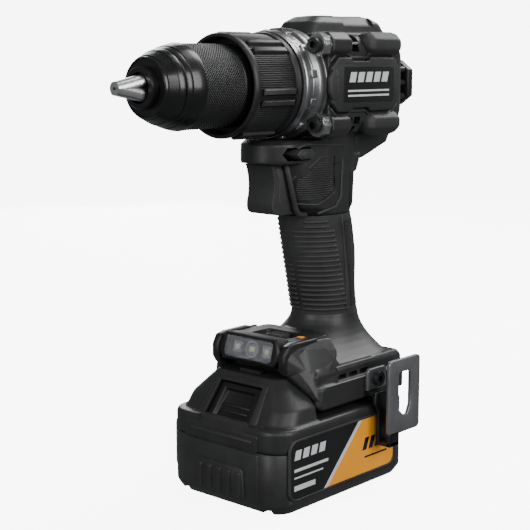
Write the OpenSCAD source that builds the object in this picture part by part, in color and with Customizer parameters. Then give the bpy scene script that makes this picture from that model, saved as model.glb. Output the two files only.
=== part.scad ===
// Cordless drill driver: keyless three-jaw chuck, two-stage planetary gearbox,
// brushless motor, pistol grip and slide-on battery pack.
// Frame: +X runs forward along the spindle, +Y is the left side, +Z is up.
// The origin is the centre of the battery's resting face.

/* [Battery] */
// Length of the battery pack along the drill
pack_len = 105.6; // [105:0.1:107]
// Width of the battery pack
pack_w = 78.3; // [78:0.1:79.2]
// Height of the joint between the pack's lower and upper shells
pack_seam_z = 31; // [30.5:0.1:32]
// Radius of the pack's vertical corners
pack_corner_r = 13; // [11:0.5:14]
// Wall thickness of the pack's shells
pack_wall = 2.2; // [2:0.1:2.4]
// Radius of one cell
cell_r = 9.15; // [9:0.05:9.2]
// Length of one cell
cell_len = 65; // [63:0.5:66]

/* [Spindle line] */
// Height of the spindle axis above the resting face
spindle_z = 207.4; // [207:0.1:208]
// Front plane of the closed jaws
jaw_tip_x = 118.7; // [118:0.1:119]
// Angle between a jaw and the spindle axis
jaw_angle = 14; // [13.8:0.1:14.2]
// Radius of one jaw
jaw_r = 3.6; // [3.5:0.05:3.65]
// Length of one jaw
jaw_len = 36; // [34:0.5:37]
// Radius of the smallest bit that the closed jaws hold
bit_r = 0.75; // [0.7:0.05:0.9]
// Radius of the chuck sleeve
sleeve_r = 20.2; // [20:0.1:20.6]
// Radius of the torque collar at its front rim
collar_r = 25.2; // [25:0.1:25.6]

/* [Gearbox] */
// Gear module of the first stage
mod_1 = 0.7; // [0.68:0.01:0.7]
// Gear module of the second stage
mod_2 = 0.75; // [0.73:0.01:0.75]
// Tooth thinning on each flank, for backlash
gear_play = 0.05; // [0.04:0.01:0.08]
// Radius of the planet pins
planet_pin_r = 2.5; // [2.4:0.05:2.5]

/* [Motor] */
// Radius of the stator
stator_r = 23.5; // [23:0.1:23.5]
// Radius of the rotor
rotor_r = 12.4; // [12:0.1:12.4]
// Radius of the motor shaft
shaft_r = 2.5; // [2.4:0.05:2.5]

/* [Housing] */
// Half width of the motor barrel
barrel_hy = 28; // [27.5:0.1:28]
// Half height of the motor barrel
barrel_hz = 25.5; // [25.2:0.1:26]
// Half width of the handle
grip_hy = 17; // [16.8:0.1:17.4]
// Thickness of the soft grip
grip_skin = 1.7; // [1.5:0.1:1.8]
// Half width of the foot
foot_hy = 36; // [35.5:0.1:36.2]
// Height of the foot's underside
foot_z = 46; // [45.9:0.1:46.1]

/* [Hidden] */
$fn = 64;

// Overshoot that cuts go beyond a face
over = 1;

// Gear teeth counts, chosen so that three planets fit evenly in each stage
sun_1 = 12;
planet_1 = 21;
ring_1 = sun_1 + 2 * planet_1;
sun_2 = 15;
planet_2 = 18;
ring_2 = sun_2 + 2 * planet_2;
pressure = 25;
addendum = 0.8;
dedendum = 1.05;
centre_1 = mod_1 * (sun_1 + planet_1) / 2;
centre_2 = mod_2 * (sun_2 + planet_2) / 2;

// Stations along the spindle axis
shaft_back_x = -68.5;
rear_bearing_x = -68;
stator_x = [-60, -33];
fan_x = [-30.5, -23];
cover_x = [-20, -14];
front_bearing_x = -20;
stage_1_x = [-13.5, -3.5];
stage_2_x = [-3.3, 7.3];
carrier_1_x = [-4.2, -1.2];
carrier_2_x = [7.6, 11];
case_back_x = -13.8;
case_face_x = 4;
collar_x = [21.8, 53.7];
bearing_len = 6;
spindle_bearing_x = [13.6, 35];
chuck_back_x = 46;
nut_x = [75, 81];
nose_x = [91.4, 100.9];

// Places of the screws that hold the gear case to the housing
case_screw_y = 24;
case_screw_z = 19.5;

// Battery heights and the rail that slides in the foot
deck_z = 43;
rail_z = [51, 57.4];
rail_hy = 28;
stem_hy = 22.4;
rail_x = [-49, 20.6];
tower_top_z = 63.6;
slide_gap = 0.5;

// Release button: a sloping panel on the front of the pack
panel_tilt = 35;
panel_x = 44.6;
panel_z = 48;

// ---------- shared shapes ----------

// Children drawn with local +Z along the spindle axis
module on_spindle() translate([0, 0, spindle_z]) rotate([0, 90, 0]) children();

// Children drawn in the XZ plane, thickened from y0 to y1
module along_y(y0, y1) translate([0, y1, 0]) rotate([90, 0, 0]) linear_extrude(y1 - y0) children();

// Plain cylinder on the spindle axis
module rod(x0, x1, r) on_spindle() translate([0, 0, x0]) cylinder(h = x1 - x0, r = r);

// Tube on the spindle axis
module ring(x0, x1, r_out, r_in) difference() {
  rod(x0, x1, r_out);
  rod(x0 - over, x1 + over, r_in);
}

// Cylinder parallel to the spindle, at y and at a height above the axis
module side_rod(x0, x1, r, y, z) translate([x0, y, spindle_z + z]) rotate([0, 90, 0])
  cylinder(h = x1 - x0, r = r);

// Cylinder along Y
module cross_rod(y0, y1, r, x, z) translate([x, y1, z]) rotate([90, 0, 0]) cylinder(h = y1 - y0, r = r);

// Rectangle with round corners, centred
module round_rect(w, d, r) {
  square([w - 2 * r, d], center = true);
  square([w, d - 2 * r], center = true);
  for (sx = [-1, 1], sy = [-1, 1]) translate([sx * (w / 2 - r), sy * (d / 2 - r)]) circle(r = r);
}

// Thin level slab with round corners, used as a section of a blended form
module slab(x0, x1, hy, z, r) translate([(x0 + x1) / 2, 0, z]) linear_extrude(0.2)
  hull() for (sx = [-1, 1], sy = [-1, 1])
    translate([sx * ((x1 - x0) / 2 - r), sy * (hy - r)]) circle(r = r, $fn = 32);

// Thin level ellipse, used as a section of the handle
module oval(x, z, a, b) translate([x, 0, z]) scale([a, b, 1]) cylinder(h = 0.2, r = 1, $fn = 40);

// Keeps the left half (side = 1) or the right half (side = -1) of its children
module half(side) intersection() {
  children();
  translate([-150, side > 0 ? 0.05 : -150.05, -10]) cube([300, 150, 300]);
}

function unit(v) = v / norm(v);

// Closed tube swept along a list of points; ref is any direction that the path never follows
module swept_tube(path, r, ref, sides = 8) {
  last = len(path) - 1;
  dirs = [for (i = [0:last]) unit(path[min(i + 1, last)] - path[max(i - 1, 0)])];
  across = [for (d = dirs) unit(cross(d, ref))];
  points = [for (i = [0:last]) for (k = [0:sides - 1])
    path[i] + r * (cos(360 * k / sides) * across[i] + sin(360 * k / sides) * cross(dirs[i], across[i]))];
  walls = [for (i = [0:last - 1]) for (k = [0:sides - 1])
    [i * sides + k, (i + 1) * sides + k, (i + 1) * sides + (k + 1) % sides, i * sides + (k + 1) % sides]];
  caps = [[for (k = [0:sides - 1]) k], [for (k = [sides - 1:-1:0]) last * sides + k]];
  polyhedron(points = points, faces = concat(walls, caps), convexity = 8);
}

// Compression spring round the line y = 0, z = height, from x0 to x1
module coil_spring(x0, x1, height, mean_r, wire_r, turns) {
  steps = turns * 14;
  swept_tube([for (i = [0:steps]) [
    x0 + wire_r + (x1 - x0 - 2 * wire_r) * i / steps,
    mean_r * cos(360 * turns * i / steps),
    height + mean_r * sin(360 * turns * i / steps)
  ]], wire_r, [1, 0, 0], 6);
}

// ---------- gears ----------

// Polar angle that an involute has turned through when it is unrolled by t degrees
function involute_angle(t) = t - atan(t * PI / 180);

// Unrolling angle at which the involute of a base circle reaches radius r
function unroll(r, base) = sqrt(max(0, pow(r / base, 2) - 1)) * 180 / PI;

// Outline of an involute gear with a tooth on the +X axis; tip and root are radii
module gear_outline(teeth, mod, tip, root, play) {
  pitch_r = mod * teeth / 2;
  base = pitch_r * cos(pressure);
  half_angle = 90 / teeth - play / pitch_r * 180 / PI + tan(pressure) * 180 / PI - pressure;
  t0 = unroll(root, base);
  t1 = unroll(tip, base);
  flank = [for (i = [0:4]) let (t = t0 + (t1 - t0) * i / 4)
    [base * sqrt(1 + pow(t * PI / 180, 2)), half_angle - involute_angle(t)]];
  tooth = concat([[root, -half_angle]], [for (p = flank) [p[0], -p[1]]],
    [for (i = [4:-1:0]) flank[i]], [[root, half_angle]]);
  body = root < base ? tooth : [for (i = [1:10]) tooth[i]];
  polygon([for (k = [0:teeth - 1]) for (p = body)
    p[0] * [cos(p[1] + 360 * k / teeth), sin(p[1] + 360 * k / teeth)]]);
}

// Outside gear along the spindle direction, centred on its own axis
module outer_gear(teeth, mod, x0, x1) translate([0, 0, x0]) linear_extrude(x1 - x0)
  gear_outline(teeth, mod, mod * (teeth / 2 + addendum), mod * (teeth / 2 - dedendum), gear_play);

// Fixed ring gear, turned so that its teeth meet the planets
module ring_gear(teeth, mod, x0, x1, turn) on_spindle() translate([0, 0, x0]) linear_extrude(x1 - x0)
  difference() {
    circle(r = 21);
    rotate(turn)
      gear_outline(teeth, mod, mod * (teeth / 2 + dedendum), mod * (teeth / 2 - addendum), -gear_play);
  }

// Planet gear number k of three
module planet(k, teeth, mod, centre, x, turn) on_spindle() rotate(120 * k) translate([centre, 0, 0])
  rotate(turn) difference() {
    outer_gear(teeth, mod, x[0], x[1]);
    translate([0, 0, x[0] - over]) cylinder(h = x[1] - x[0] + 2 * over, r = planet_pin_r + 0.05);
  }

// Three pins that the planets turn on
module planet_pins(centre, x0, x1) on_spindle() for (k = [0:2]) rotate(120 * k)
  translate([centre, 0, x0]) cylinder(h = x1 - x0, r = planet_pin_r);

// ---------- housing forms ----------

// Rounded section of the motor barrel at x, smaller by inset
module barrel_section(x, inset, len = 0.2) on_spindle() translate([0, 0, x]) linear_extrude(len)
  round_rect(2 * (barrel_hz - inset), 2 * (barrel_hy - inset), 9);

module barrel_form(grow = 0) {
  barrel_section(-55, -grow, 58.8);
  hull() {
    barrel_section(-55.1, 0.05 - grow);
    barrel_section(-62, 4.4 - grow);
  }
}

// Screw bosses beside the front of the barrel
module boss_form() for (sy = [-1, 1], sz = [-1, 1])
  side_rod(-14, 3.8, 6.3, sy * case_screw_y, sz * case_screw_z);

module hump_form(inset) hull() {
  slab(-66 + inset, 1.4 - inset, 13 - inset, 226, 6);
  slab(-64 + inset, 1.4 - inset, 12 - inset, 235 - inset, 5);
  slab(-57 + inset, -7 - inset, 9.5 - inset, 241 - inset, 4);
}

// Block between the barrel and the handle
module neck_form(inset) {
  hull() for (z = [168, 184]) slab(-38 + inset, 3.6 - inset, 17.4 - inset, z, 12);
  hull() {
    slab(-37.5 + inset, 18 - inset, 16.9 - inset, 168.5, 12);
    slab(-36.5 + inset, 9 - inset, 16.6 - inset, 146, 12);
    oval(-18.6, 141, 21.6 - inset, 16.6 - inset);
  }
}

// Nose of the housing over the trigger, below the torque collar
module chin_form() hull() for (z = [168.9, 179]) {
  oval(14, z, 15.5, 16.4);
  slab(-12, 5, 17.2, z, 4);
}

module tail_form() hull() {
  slab(-71, -30, 15.5, 184, 9);
  slab(-67, -30, 15, 176, 9);
  slab(-47, -28, 14, 168.4, 8);
}

// Handle: ellipses given by their centre, height and half length
module handle_form(inset) {
  rows = [[-18.6, 141, 21.6], [-22.7, 120, 21.6], [-24.8, 103, 19], [-26.3, 95, 17.8], [-28, 86, 18.6]];
  for (i = [0:3]) hull() for (s = [rows[i], rows[i + 1]]) oval(s[0], s[1], s[2] - inset, grip_hy - inset);
}

// Spread from the handle down to the foot, in three steps
module flare_form(inset) {
  hull() {
    oval(-28, 86, 18.6 - inset, grip_hy - inset);
    slab(-47 + inset, -4 - inset, 20.5 - inset, 79.6, 12);
  }
  hull() {
    slab(-47 + inset, -4 - inset, 20.5 - inset, 79.6, 12);
    slab(-48 + inset, 6 - inset, 25 - inset, 75, 13);
  }
  hull() {
    slab(-48 + inset, 6 - inset, 25 - inset, 75, 13);
    slab(-51 + inset, 20 - inset, 32 - inset, 66, 12);
  }
}

module foot_form() hull() {
  slab(-52.4, 20, foot_hy, foot_z, 8);
  slab(-52.4, 20, foot_hy, 60, 8);
  slab(-51, 20, 32, 66, 8);
}

// Forward shelf of the foot that carries the lamp
module shelf_form() hull() {
  slab(-4, 21, 24, 66, 6);
  slab(-4, 20, 20, 80, 6);
}

// Cheeks of the foot on both sides of the lamp
module cheek_form() for (side = [-1, 1]) hull() for (s = [[20.3, 0], [24.4, 1.8]])
  along_y(side * s[0] - 0.1, side * s[0] + 0.1) offset(delta = -s[1])
    polygon([[2, 65], [31.5, 65], [33.4, 69], [33.4, 75], [30.6, 79.6], [26, 80.4], [2, 80]]);

// Space inside both halves of the housing, with a pillar left round each screw
module housing_space() {
  rod(-55.3, 4.5, stator_r + 0.3);
  rod(-60.4, -54, 20.8);
  rod(-63, -59, 19);
  difference() {
    union() {
      hump_form(2.4);
      neck_form(3);
      handle_form(3 + grip_skin);
      flare_form(4);
    }
    housing_screw_places() translate([0, 0, -30]) cylinder(h = 60, r = 4.6, $fn = 24);
  }
  // Rail channel, open towards the front and below between the lips
  translate([-50.2, -rail_hy - slide_gap, rail_z[0] - slide_gap]) cube([80, 2 * (rail_hy + slide_gap), 7.4]);
  translate([-50.2, -stem_hy - slide_gap, foot_z - over]) cube([80, 2 * (stem_hy + slide_gap), 7]);
  // Trigger opening and the guide holes of the other controls
  translate([-6, -9.2, 142]) cube([50, 18.4, 26.7]);
  translate([3.4, -25, 170.6]) cube([15.2, 50, 6]);
  translate([-41, -6.4, 236]) cube([25, 12.8, 10]);
  translate([5.6, -11, 76]) cube([9, 22, 8]);
  translate([-34.5, -18.5, rail_z[1]]) cube([31, 37, 12]);
  // Air slots in the barrel beside the fan
  for (z = [-19.5, 15.5], x = [-30, -25.5, -21]) translate([x, -40, spindle_z + z]) cube([3, 80, 4]);
  for (sy = [-1, 1], sz = [-1, 1]) side_rod(-16, 5, 2.2, sy * case_screw_y, sz * case_screw_z);
  cross_rod(20, foot_hy + over, 2.2, -25, 56);
  housing_screw_places() translate([0, 0, -36]) cylinder(h = 60, r = 1.7, $fn = 24);
  housing_screw_places() translate([0, 0, 7]) cylinder(h = 40, r = 3.4, $fn = 24);
}

// Seven screws along Y, entered from the right side
module housing_screw_places()
  for (p = [[-60, 178], [-58, 235], [-29, 126], [-32, 100], [-43.5, 63.6], [8, 64], [-3, 180]])
  translate([p[0], 0, p[1]]) rotate([90, 0, 0]) children();

module housing_half(side) half(side) difference() {
  union() {
    barrel_form();
    boss_form();
    hump_form(0);
    neck_form(0);
    chin_form();
    tail_form();
    handle_form(grip_skin);
    flare_form(0);
    foot_form();
    shelf_form();
    cheek_form();
  }
  housing_space();
}

// ---------- tool body ----------

module housing_left() color("#262729") housing_half(1);

module housing_right() color("#262729") housing_half(-1);

// End cap behind the motor, with the seat of the rear bearing
module rear_cap() color("#1c1d1f") {
  difference() {
    union() {
      on_spindle() translate([0, 0, -77.4]) linear_extrude(6.4)
        polygon([[12, -14], [12, 14], [7, 21], [-7, 21], [-12, 14], [-12, -14], [-7, -21], [7, -21]]);
      rod(-71.2, -61.9, 10.6);
    }
    rod(rear_bearing_x - 0.6, -60, 8.05);
  }
  for (sy = [-1, 1], z = [-7, 0, 7]) side_rod(-71.2, -62.1, 1.4, 17.6 * sy, z);
}

module grip_half(side) half(side) intersection() {
  difference() {
    handle_form(0);
    handle_form(grip_skin - 0.03);
    housing_screw_places() translate([0, 0, 7]) cylinder(h = 40, r = 3.6, $fn = 24);
  }
  translate([-60, -30, 86.4]) cube([80, 60, 54.4]);
}

module grip_left() color("#2b2c2d") grip_half(1);

module grip_right() color("#2b2c2d") grip_half(-1);

// Cover plate on one side of the barrel, with notched long edges
module side_plate(side) {
  y0 = side > 0 ? barrel_hy + 0.05 : -barrel_hy - 2.2;
  along_y(y0, y0 + 2.15) translate([0, spindle_z]) polygon([
    [3.6, -9], [3.6, 9], [-1, 13.4], [-11, 13.4], [-13, 11.6], [-25, 11.6], [-27, 13.4],
    [-46, 13.4], [-51, 9], [-51, -9], [-46, -13.4], [-27, -13.4], [-25, -11.6], [-13, -11.6],
    [-11, -13.4], [-1, -13.4]
  ]);
}

module side_plate_left() color("#2e3032") side_plate(1);

module side_plate_right() color("#2e3032") side_plate(-1);

// Four soft bumpers on the rear corners of the barrel
module rear_bumpers() color("#1f2021") difference() {
  for (sy = [-1, 1], sz = [-1, 1]) {
    side_rod(-49, -32, 6.4, 24.6 * sy, 19.9 * sz);
    for (x = [-49, -32]) translate([x, 24.6 * sy, spindle_z + 19.9 * sz]) sphere(r = 6.4);
  }
  barrel_form(0.03);
}

module housing_screws() color("#3a3b3d") housing_screw_places() {
  translate([0, 0, -9]) cylinder(h = 16.2, r = 1.6);
  difference() {
    translate([0, 0, 7.1]) cylinder(h = 2.6, r = 3.2);
    translate([0, 0, 8.2]) cylinder(h = 3, r = 1.5, $fn = 6);
  }
}

// Metal gear case: ring gears behind, collar seat and spindle nose in front
module gear_case() color("#4a4c4f") difference() {
  union() {
    on_spindle() rotate_extrude() polygon([
      [21.05, case_back_x], [23.5, case_back_x], [23.5, case_face_x], [27.8, case_face_x],
      [27.8, 11.6], [26.6, 13], [26.3, 21.2], [22.6, 21.2], [22.6, 24.4], [16.5, 24.4],
      [16.5, 43], [13.05, 43], [13.05, 34.9], [11, 34.9], [11, 20], [13.05, 20],
      [13.05, 12.2], [21.05, 12.2]
    ]);
    for (sy = [-1, 1], sz = [-1, 1]) {
      side_rod(case_face_x, 9, 5.6, sy * case_screw_y, sz * case_screw_z);
      translate([case_face_x, sy * 19 - 3, spindle_z + sz * 19 - 3]) cube([5, 6, 6]);
    }
  }
  for (sy = [-1, 1], sz = [-1, 1]) {
    side_rod(0, 20, 2.2, sy * case_screw_y, sz * case_screw_z);
    side_rod(9.05, 20, 4, sy * case_screw_y, sz * case_screw_z);
  }
}

module gear_case_screws() color("#17181a") for (sy = [-1, 1], sz = [-1, 1]) {
  y = sy * case_screw_y;
  z = sz * case_screw_z;
  side_rod(-13, 9.2, 2.1, y, z);
  difference() {
    side_rod(9.1, 12.4, 3.6, y, z);
    translate([10.6, y, spindle_z + z]) rotate([0, 90, 0]) cylinder(h = 3, r = 1.9, $fn = 6);
  }
}

// Plate that closes the gear case and holds the front motor bearing
module gearbox_cover() color("#55575a") difference() {
  rod(cover_x[0], cover_x[1], 23.4);
  rod(cover_x[0] - over, front_bearing_x + 5.2, 8.05);
  rod(cover_x[0] - over, cover_x[1] + over, 3.4);
}

module ring_gear_1() color("#8d9094") ring_gear(ring_1, mod_1, stage_1_x[0], stage_1_x[1], 0);

module ring_gear_2() color("#8d9094") ring_gear(ring_2, mod_2, stage_2_x[0], stage_2_x[1], 180 / ring_2);

module clutch_plate() color("#9a9da1") ring(24.6, 27.6, 22, 16.6);

module spindle_bearings() color("#b9bcc0") {
  ring(spindle_bearing_x[0], spindle_bearing_x[0] + bearing_len, 13, 8.03);
  ring(spindle_bearing_x[1], spindle_bearing_x[1] + bearing_len, 13, 6.4);
}

module motor_bearings() color("#b9bcc0") {
  ring(rear_bearing_x, rear_bearing_x + 5, 8, shaft_r + 0.03);
  ring(front_bearing_x + 0.1, front_bearing_x + 5.1, 8, shaft_r + 0.03);
}

// Laminated stator with twelve slots and the windings' end turns
module stator() color("#6b4a2c") {
  difference() {
    rod(stator_x[0] + 5, stator_x[1] - 5, stator_r);
    rod(stator_x[0], stator_x[1], rotor_r + 0.5);
    on_spindle() for (k = [0:11]) rotate(30 * k + 15) translate([14.4, 0, stator_x[0]])
      cylinder(h = 30, r = 2.4);
  }
  ring(stator_x[0], stator_x[0] + 5, 20.4, 14);
  ring(stator_x[1] - 5, stator_x[1], 20.4, 14);
}

module switch_module() color("#303234") difference() {
  translate([-26, -11, 144]) cube([25, 22, 24]);
  translate([-20, 0, 157]) rotate([0, 90, 0]) cylinder(h = 20, r = 3.3);
}

module controller() color("#2b5a3c") translate([-40, -16, 69.4]) cube([38, 32, 5]);

// Three motor leads that run from the controller up behind the switch
module motor_wires() color("#303030") for (y = [-4, 0, 4])
  swept_tube([[-22, y, 74.8], [-22, y, 90], [-21, y, 104], [-20.5, y, 118], [-22, y, 130],
    [-27, y, 138], [-30, y, 146], [-30.4, y, 158], [-30.6, y, 170], [-33, y, 181]], 1.2, [0, 1, 0]);

// Terminal block in the foot: a moulded body and four blades that hang into the pack
module terminal_block() color("#3b3d3f") {
  translate([-34, -18, 58.2]) cube([30, 36, 10.4]);
  for (y = [-13.5, -4.5, 4.5, 13.5]) translate([-32, y - 0.4, 51.6]) cube([16, 0.8, 6.8]);
}

// Case of the work lamp, on the front of the foot
module led_housing() color("#1b1c1d") difference() {
  hull() {
    translate([21.2, -20, 68]) cube([0.4, 40, 12]);
    translate([31.6, -18, 69]) rotate([0, -15, 0]) cube([0.4, 36, 13.6]);
    translate([31.6, -19.6, 71]) rotate([0, -15, 0]) cube([0.4, 39.2, 8]);
  }
  translate([34.2, 0, 76.2]) rotate([0, 75, 0]) linear_extrude(6, center = true) round_rect(11, 32, 2);
}

module led_lens() color("#c9d4dc", 0.6) translate([31.7, 0, 75.5]) rotate([0, 75, 0])
  linear_extrude(1.6, center = true) round_rect(10.6, 31.6, 1.8);

// Steel belt hook: screwed leg, return bend and outer plate with a keyhole slot
module belt_hook() color("#77797c") {
  difference() {
    along_y(foot_hy + 0.1, foot_hy + 2.1) polygon([[-17, 50.5], [-17, 61.8], [-33, 61.8], [-33, 50.5]]);
    cross_rod(foot_hy - over, foot_hy + 3, 2.3, -25, 56);
  }
  along_y(foot_hy + 0.1, 43.3) polygon([[-17, 50.5], [-33, 50.5], [-33, 48.5], [-17, 48.5]]);
  along_y(41.3, 43.3) polygon([
    [-17, 50.4], [-33, 50.4], [-33, 46], [-28, 40], [-28, 24], [-20, 24], [-20, 40], [-17, 44]
  ]);
  along_y(41.3, 50.5) polygon([[-28, 24.1], [-20, 24.1], [-20, 22], [-28, 22]]);
  difference() {
    along_y(48.5, 50.5) translate([-32.4, 47.8]) round_rect(27, 39.4, 2.5);
    along_y(48, 51) {
      translate([-32.4, 51]) round_rect(10.4, 19, 2);
      polygon([[-37.6, 43], [-27.2, 43], [-27.2, 40.8], [-32, 37], [-35.2, 37], [-37.6, 39.6]]);
    }
  }
  along_y(48.5, 50.5) polygon([[-28, 22], [-20, 22], [-20, 29], [-28, 29]]);
}

module belt_hook_screw() color("#17181a") difference() {
  union() {
    cross_rod(foot_hy - 6.5, foot_hy + 2.2, 2.1, -25, 56);
    cross_rod(foot_hy + 2.15, foot_hy + 4.4, 3.7, -25, 56);
  }
  translate([-25, foot_hy + 6, 56]) rotate([90, 0, 0]) cylinder(h = 3, r = 1.7, $fn = 6);
}

module trigger_spring() color("#b9bcc0") coil_spring(-0.8, 8.6, 157, 4.5, 0.5, 3);

// ---------- controls ----------

// Trigger: finger face hollowed in front, stem running into the switch
module trigger() color("#303133") {
  difference() {
    along_y(-8.8, 8.8) polygon([
      [5.8, 142.6], [22, 142.6], [25.4, 146.4], [26.6, 168.3], [9, 168.3], [5.8, 164]
    ]);
    cross_rod(-12, 12, 26, 48.9, 157.5);
    // Seat of the return spring
    translate([5, 0, 157]) rotate([0, 90, 0]) cylinder(h = 3.65, r = 5.4);
  }
  translate([-14, 0, 157]) rotate([0, 90, 0]) cylinder(h = 24, r = 3);
}

// Forward and reverse button: a bar across the housing with hexagonal ends
module direction_button() color("#232425") {
  along_y(-17.6, 19.6) polygon([[4, 173.6], [7, 176.1], [15, 176.1], [18, 173.6], [15, 171.1], [7, 171.1]]);
}

module speed_selector() color("#1f2021") {
  hull() {
    translate([-29, -5.6, 236.6]) cube([12, 11.2, 0.4]);
    translate([-27.6, -4.8, 242]) cube([9.2, 9.6, 0.4]);
  }
}

module mode_switch() color("#1f2021") difference() {
  translate([6.1, -5, 76.3]) cube([8, 10, 4.5]);
  for (y = [-3, 0, 3]) translate([5, y - 0.4, 80.2]) cube([10, 0.8, 2]);
}

// Torque and mode collar with six groups of finger ribs
module torque_collar() color("#202122") {
  on_spindle() rotate_extrude() polygon([
    [22.7, collar_x[0]], [collar_r + 0.6, collar_x[0]], [collar_r + 0.8, 23], [collar_r, 52.6],
    [collar_r - 0.7, collar_x[1]], [23.4, collar_x[1]], [22.9, 53.2], [22.9, 45.7],
    [8.2, 45.7], [8.2, 43.6], [22.7, 43.6]
  ]);
  on_spindle() for (k = [0:5]) rotate(60 * k + 18) for (a = [-6, 6]) rotate(a)
    translate([collar_r - 0.4, -0.8, 25]) cube([1.4, 1.6, 24]);
}

module clutch_nut() color("#9a9da1") ring(38.2, 42.2, 22.2, 16.8);

module clutch_spring() color("#b9bcc0") translate([0, 0, spindle_z]) coil_spring(27.8, 38, 0, 19.4, 1.2, 4);

// ---------- spindle and chuck ----------

// Output spindle with the second planet carrier
module spindle() color("#a3a6aa") {
  on_spindle() rotate_extrude() polygon([
    [0, carrier_2_x[0]], [16.6, carrier_2_x[0]], [16.6, carrier_2_x[1]], [9, carrier_2_x[1]],
    [9, 13.2], [8, 13.2], [8, 24], [6.35, 25], [6.35, 66], [0, 66]
  ]);
  planet_pins(centre_2, carrier_1_x[1] + 0.4, carrier_2_x[0] + 0.5);
}

// Jaw axis frame: local +Z points back along jaw number k from the tip plane
module on_jaw(k) on_spindle() rotate(120 * k + 30) translate([jaw_r / cos(jaw_angle) * -1 + 3, 0, jaw_tip_x])
  rotate([0, 180 - jaw_angle, 0]) mirror([1, 0, 0]) children();

module chuck_body() color("#1b1c1e") difference() {
  on_spindle() rotate_extrude() polygon([
    [6.4, chuck_back_x], [15.5, chuck_back_x], [17, 47.5], [17, nut_x[0] - 0.5], [12.2, nut_x[0] - 0.5],
    [12.2, nut_x[1] + 0.5], [16.3, nut_x[1] + 0.5], [16.3, 90.6], [12.9, 90.6], [12.9, 100.4],
    [9.6, 100.4], [9.6, 104], [8.9, 104.7], [7, 104.7], [7, 68], [6.4, 66.2]
  ]);
  for (k = [0:2]) on_jaw(k) translate([0, 0, 8]) cylinder(h = 56, r = jaw_r + 0.06);
}

// Smooth front ring of the chuck
module chuck_nose() color("#151617") on_spindle() rotate_extrude() polygon([
  [13, nose_x[0]], [17.4, nose_x[0]], [16.6, 94.4], [14.6, 99.4], [13.6, nose_x[1]], [13, nose_x[1]]
]);

// Sleeve that is gripped to open and close the jaws
module chuck_sleeve() color("#1d1e1f") on_spindle() rotate_extrude() polygon([
  [18.3, 47.6], [19.8, 47.6], [sleeve_r, 48.2], [sleeve_r, 81], [19.7, 84.4], [18.7, 88],
  [17.6, 91.1], [16.5, 91.1], [16.5, nut_x[1] + 0.4], [18.3, nut_x[1] + 0.2]
]);

// Threaded ring inside the sleeve that drives the jaws
module jaw_nut() color("#77797c") difference() {
  rod(nut_x[0], nut_x[1], 18.25);
  on_spindle() translate([0, 0, nut_x[0] - over]) cylinder(
    h = nut_x[1] - nut_x[0] + 2 * over,
    r1 = 3.3 + (jaw_tip_x - nut_x[0] + over) * tan(jaw_angle),
    r2 = 3.3 + (jaw_tip_x - nut_x[1] - over) * tan(jaw_angle)
  );
}

// One jaw: a slanted round bar, flat in front, cut to a third of a circle where it grips
module jaw(k) color("#b4b6b8") difference() {
  on_jaw(k) translate([0, 0, -4]) cylinder(h = jaw_len + 4, r = jaw_r);
  on_spindle() translate([0, 0, jaw_tip_x]) cylinder(h = 20, r = 20);
  on_spindle() rotate(120 * k + 30) for (s = [-1, 1]) rotate(s * 60)
    translate([-30, s > 0 ? -0.06 : -39.94, 40]) cube([60, 40, 100]);
  rod(60, jaw_tip_x + over, bit_r);
}

module jaw_1() jaw(0);

module jaw_2() jaw(1);

module jaw_3() jaw(2);

// ---------- gearbox rotors ----------

// First planet carrier with the second stage's sun gear
module carrier_1() color("#9a9da1") {
  rod(carrier_1_x[0], carrier_1_x[1], 15.6);
  on_spindle() outer_gear(sun_2, mod_2, carrier_1_x[1] - 0.2, stage_2_x[1] - 0.2);
  planet_pins(centre_1, stage_1_x[0] + 0.6, carrier_1_x[0] + 0.5);
}

module planet_first(k) color("#8d9094")
  planet(k, planet_1, mod_1, centre_1, [stage_1_x[0] + 0.8, carrier_1_x[0] - 0.4], 0);

module planet_second(k) color("#8d9094")
  planet(k, planet_2, mod_2, centre_2, [carrier_1_x[1] + 0.4, carrier_2_x[0] - 0.6], 180 / planet_2);

module planet_1a() planet_first(0);

module planet_1b() planet_first(1);

module planet_1c() planet_first(2);

module planet_2a() planet_second(0);

module planet_2b() planet_second(1);

module planet_2c() planet_second(2);

// ---------- motor ----------

module rotor() color("#84878b") ring(stator_x[0] + 1, stator_x[1] - 1, rotor_r, shaft_r + 0.02);

// Motor shaft with the first stage's sun gear cut on its front end
module motor_shaft() color("#a3a6aa") {
  rod(shaft_back_x, stage_1_x[0] + 0.3, shaft_r);
  on_spindle() outer_gear(sun_1, mod_1, stage_1_x[0] + 0.2, carrier_1_x[0] - 0.4);
}

// Cooling fan: a hub, a back disc and eleven blades
module fan() color("#242526") {
  ring(fan_x[0], fan_x[1], 5, shaft_r + 0.02);
  ring(fan_x[0], fan_x[0] + 1.4, 22, 4.8);
  on_spindle() for (k = [0:10]) rotate(360 / 11 * k) translate([4.6, -0.6, fan_x[0] + 1])
    cube([17, 1.2, 5.6]);
}

// ---------- battery ----------

// Outline of the pack seen from above, shrunk by inset
module pack_outline(inset = 0) round_rect(pack_len - 2 * inset, pack_w - 2 * inset, pack_corner_r - inset);

// Front tower of the pack, which carries the release button: height, front, half width and
// front corner radius of each section
module tower_form(inset) hull() {
  x0 = rail_x[1] + 0.6 + inset;
  for (s = [[35.6, 52.6, 38, 13], [50, 43.4, 35, 11], [tower_top_z - 0.4 - inset, 34.4, 22, 6.5]])
    translate([0, 0, s[0]]) linear_extrude(0.4) {
      translate([x0, inset - s[2]]) square([2, 2 * (s[2] - inset)]);
      for (side = [-1, 1]) translate([s[1] - s[3], side * (s[2] - s[3])]) circle(r = s[3] - inset, $fn = 32);
    }
}

// Children drawn with local +Z out of the sloping release panel
module on_panel() translate([panel_x, 0, panel_z]) rotate([0, 90 - panel_tilt, 0]) children();

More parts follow.
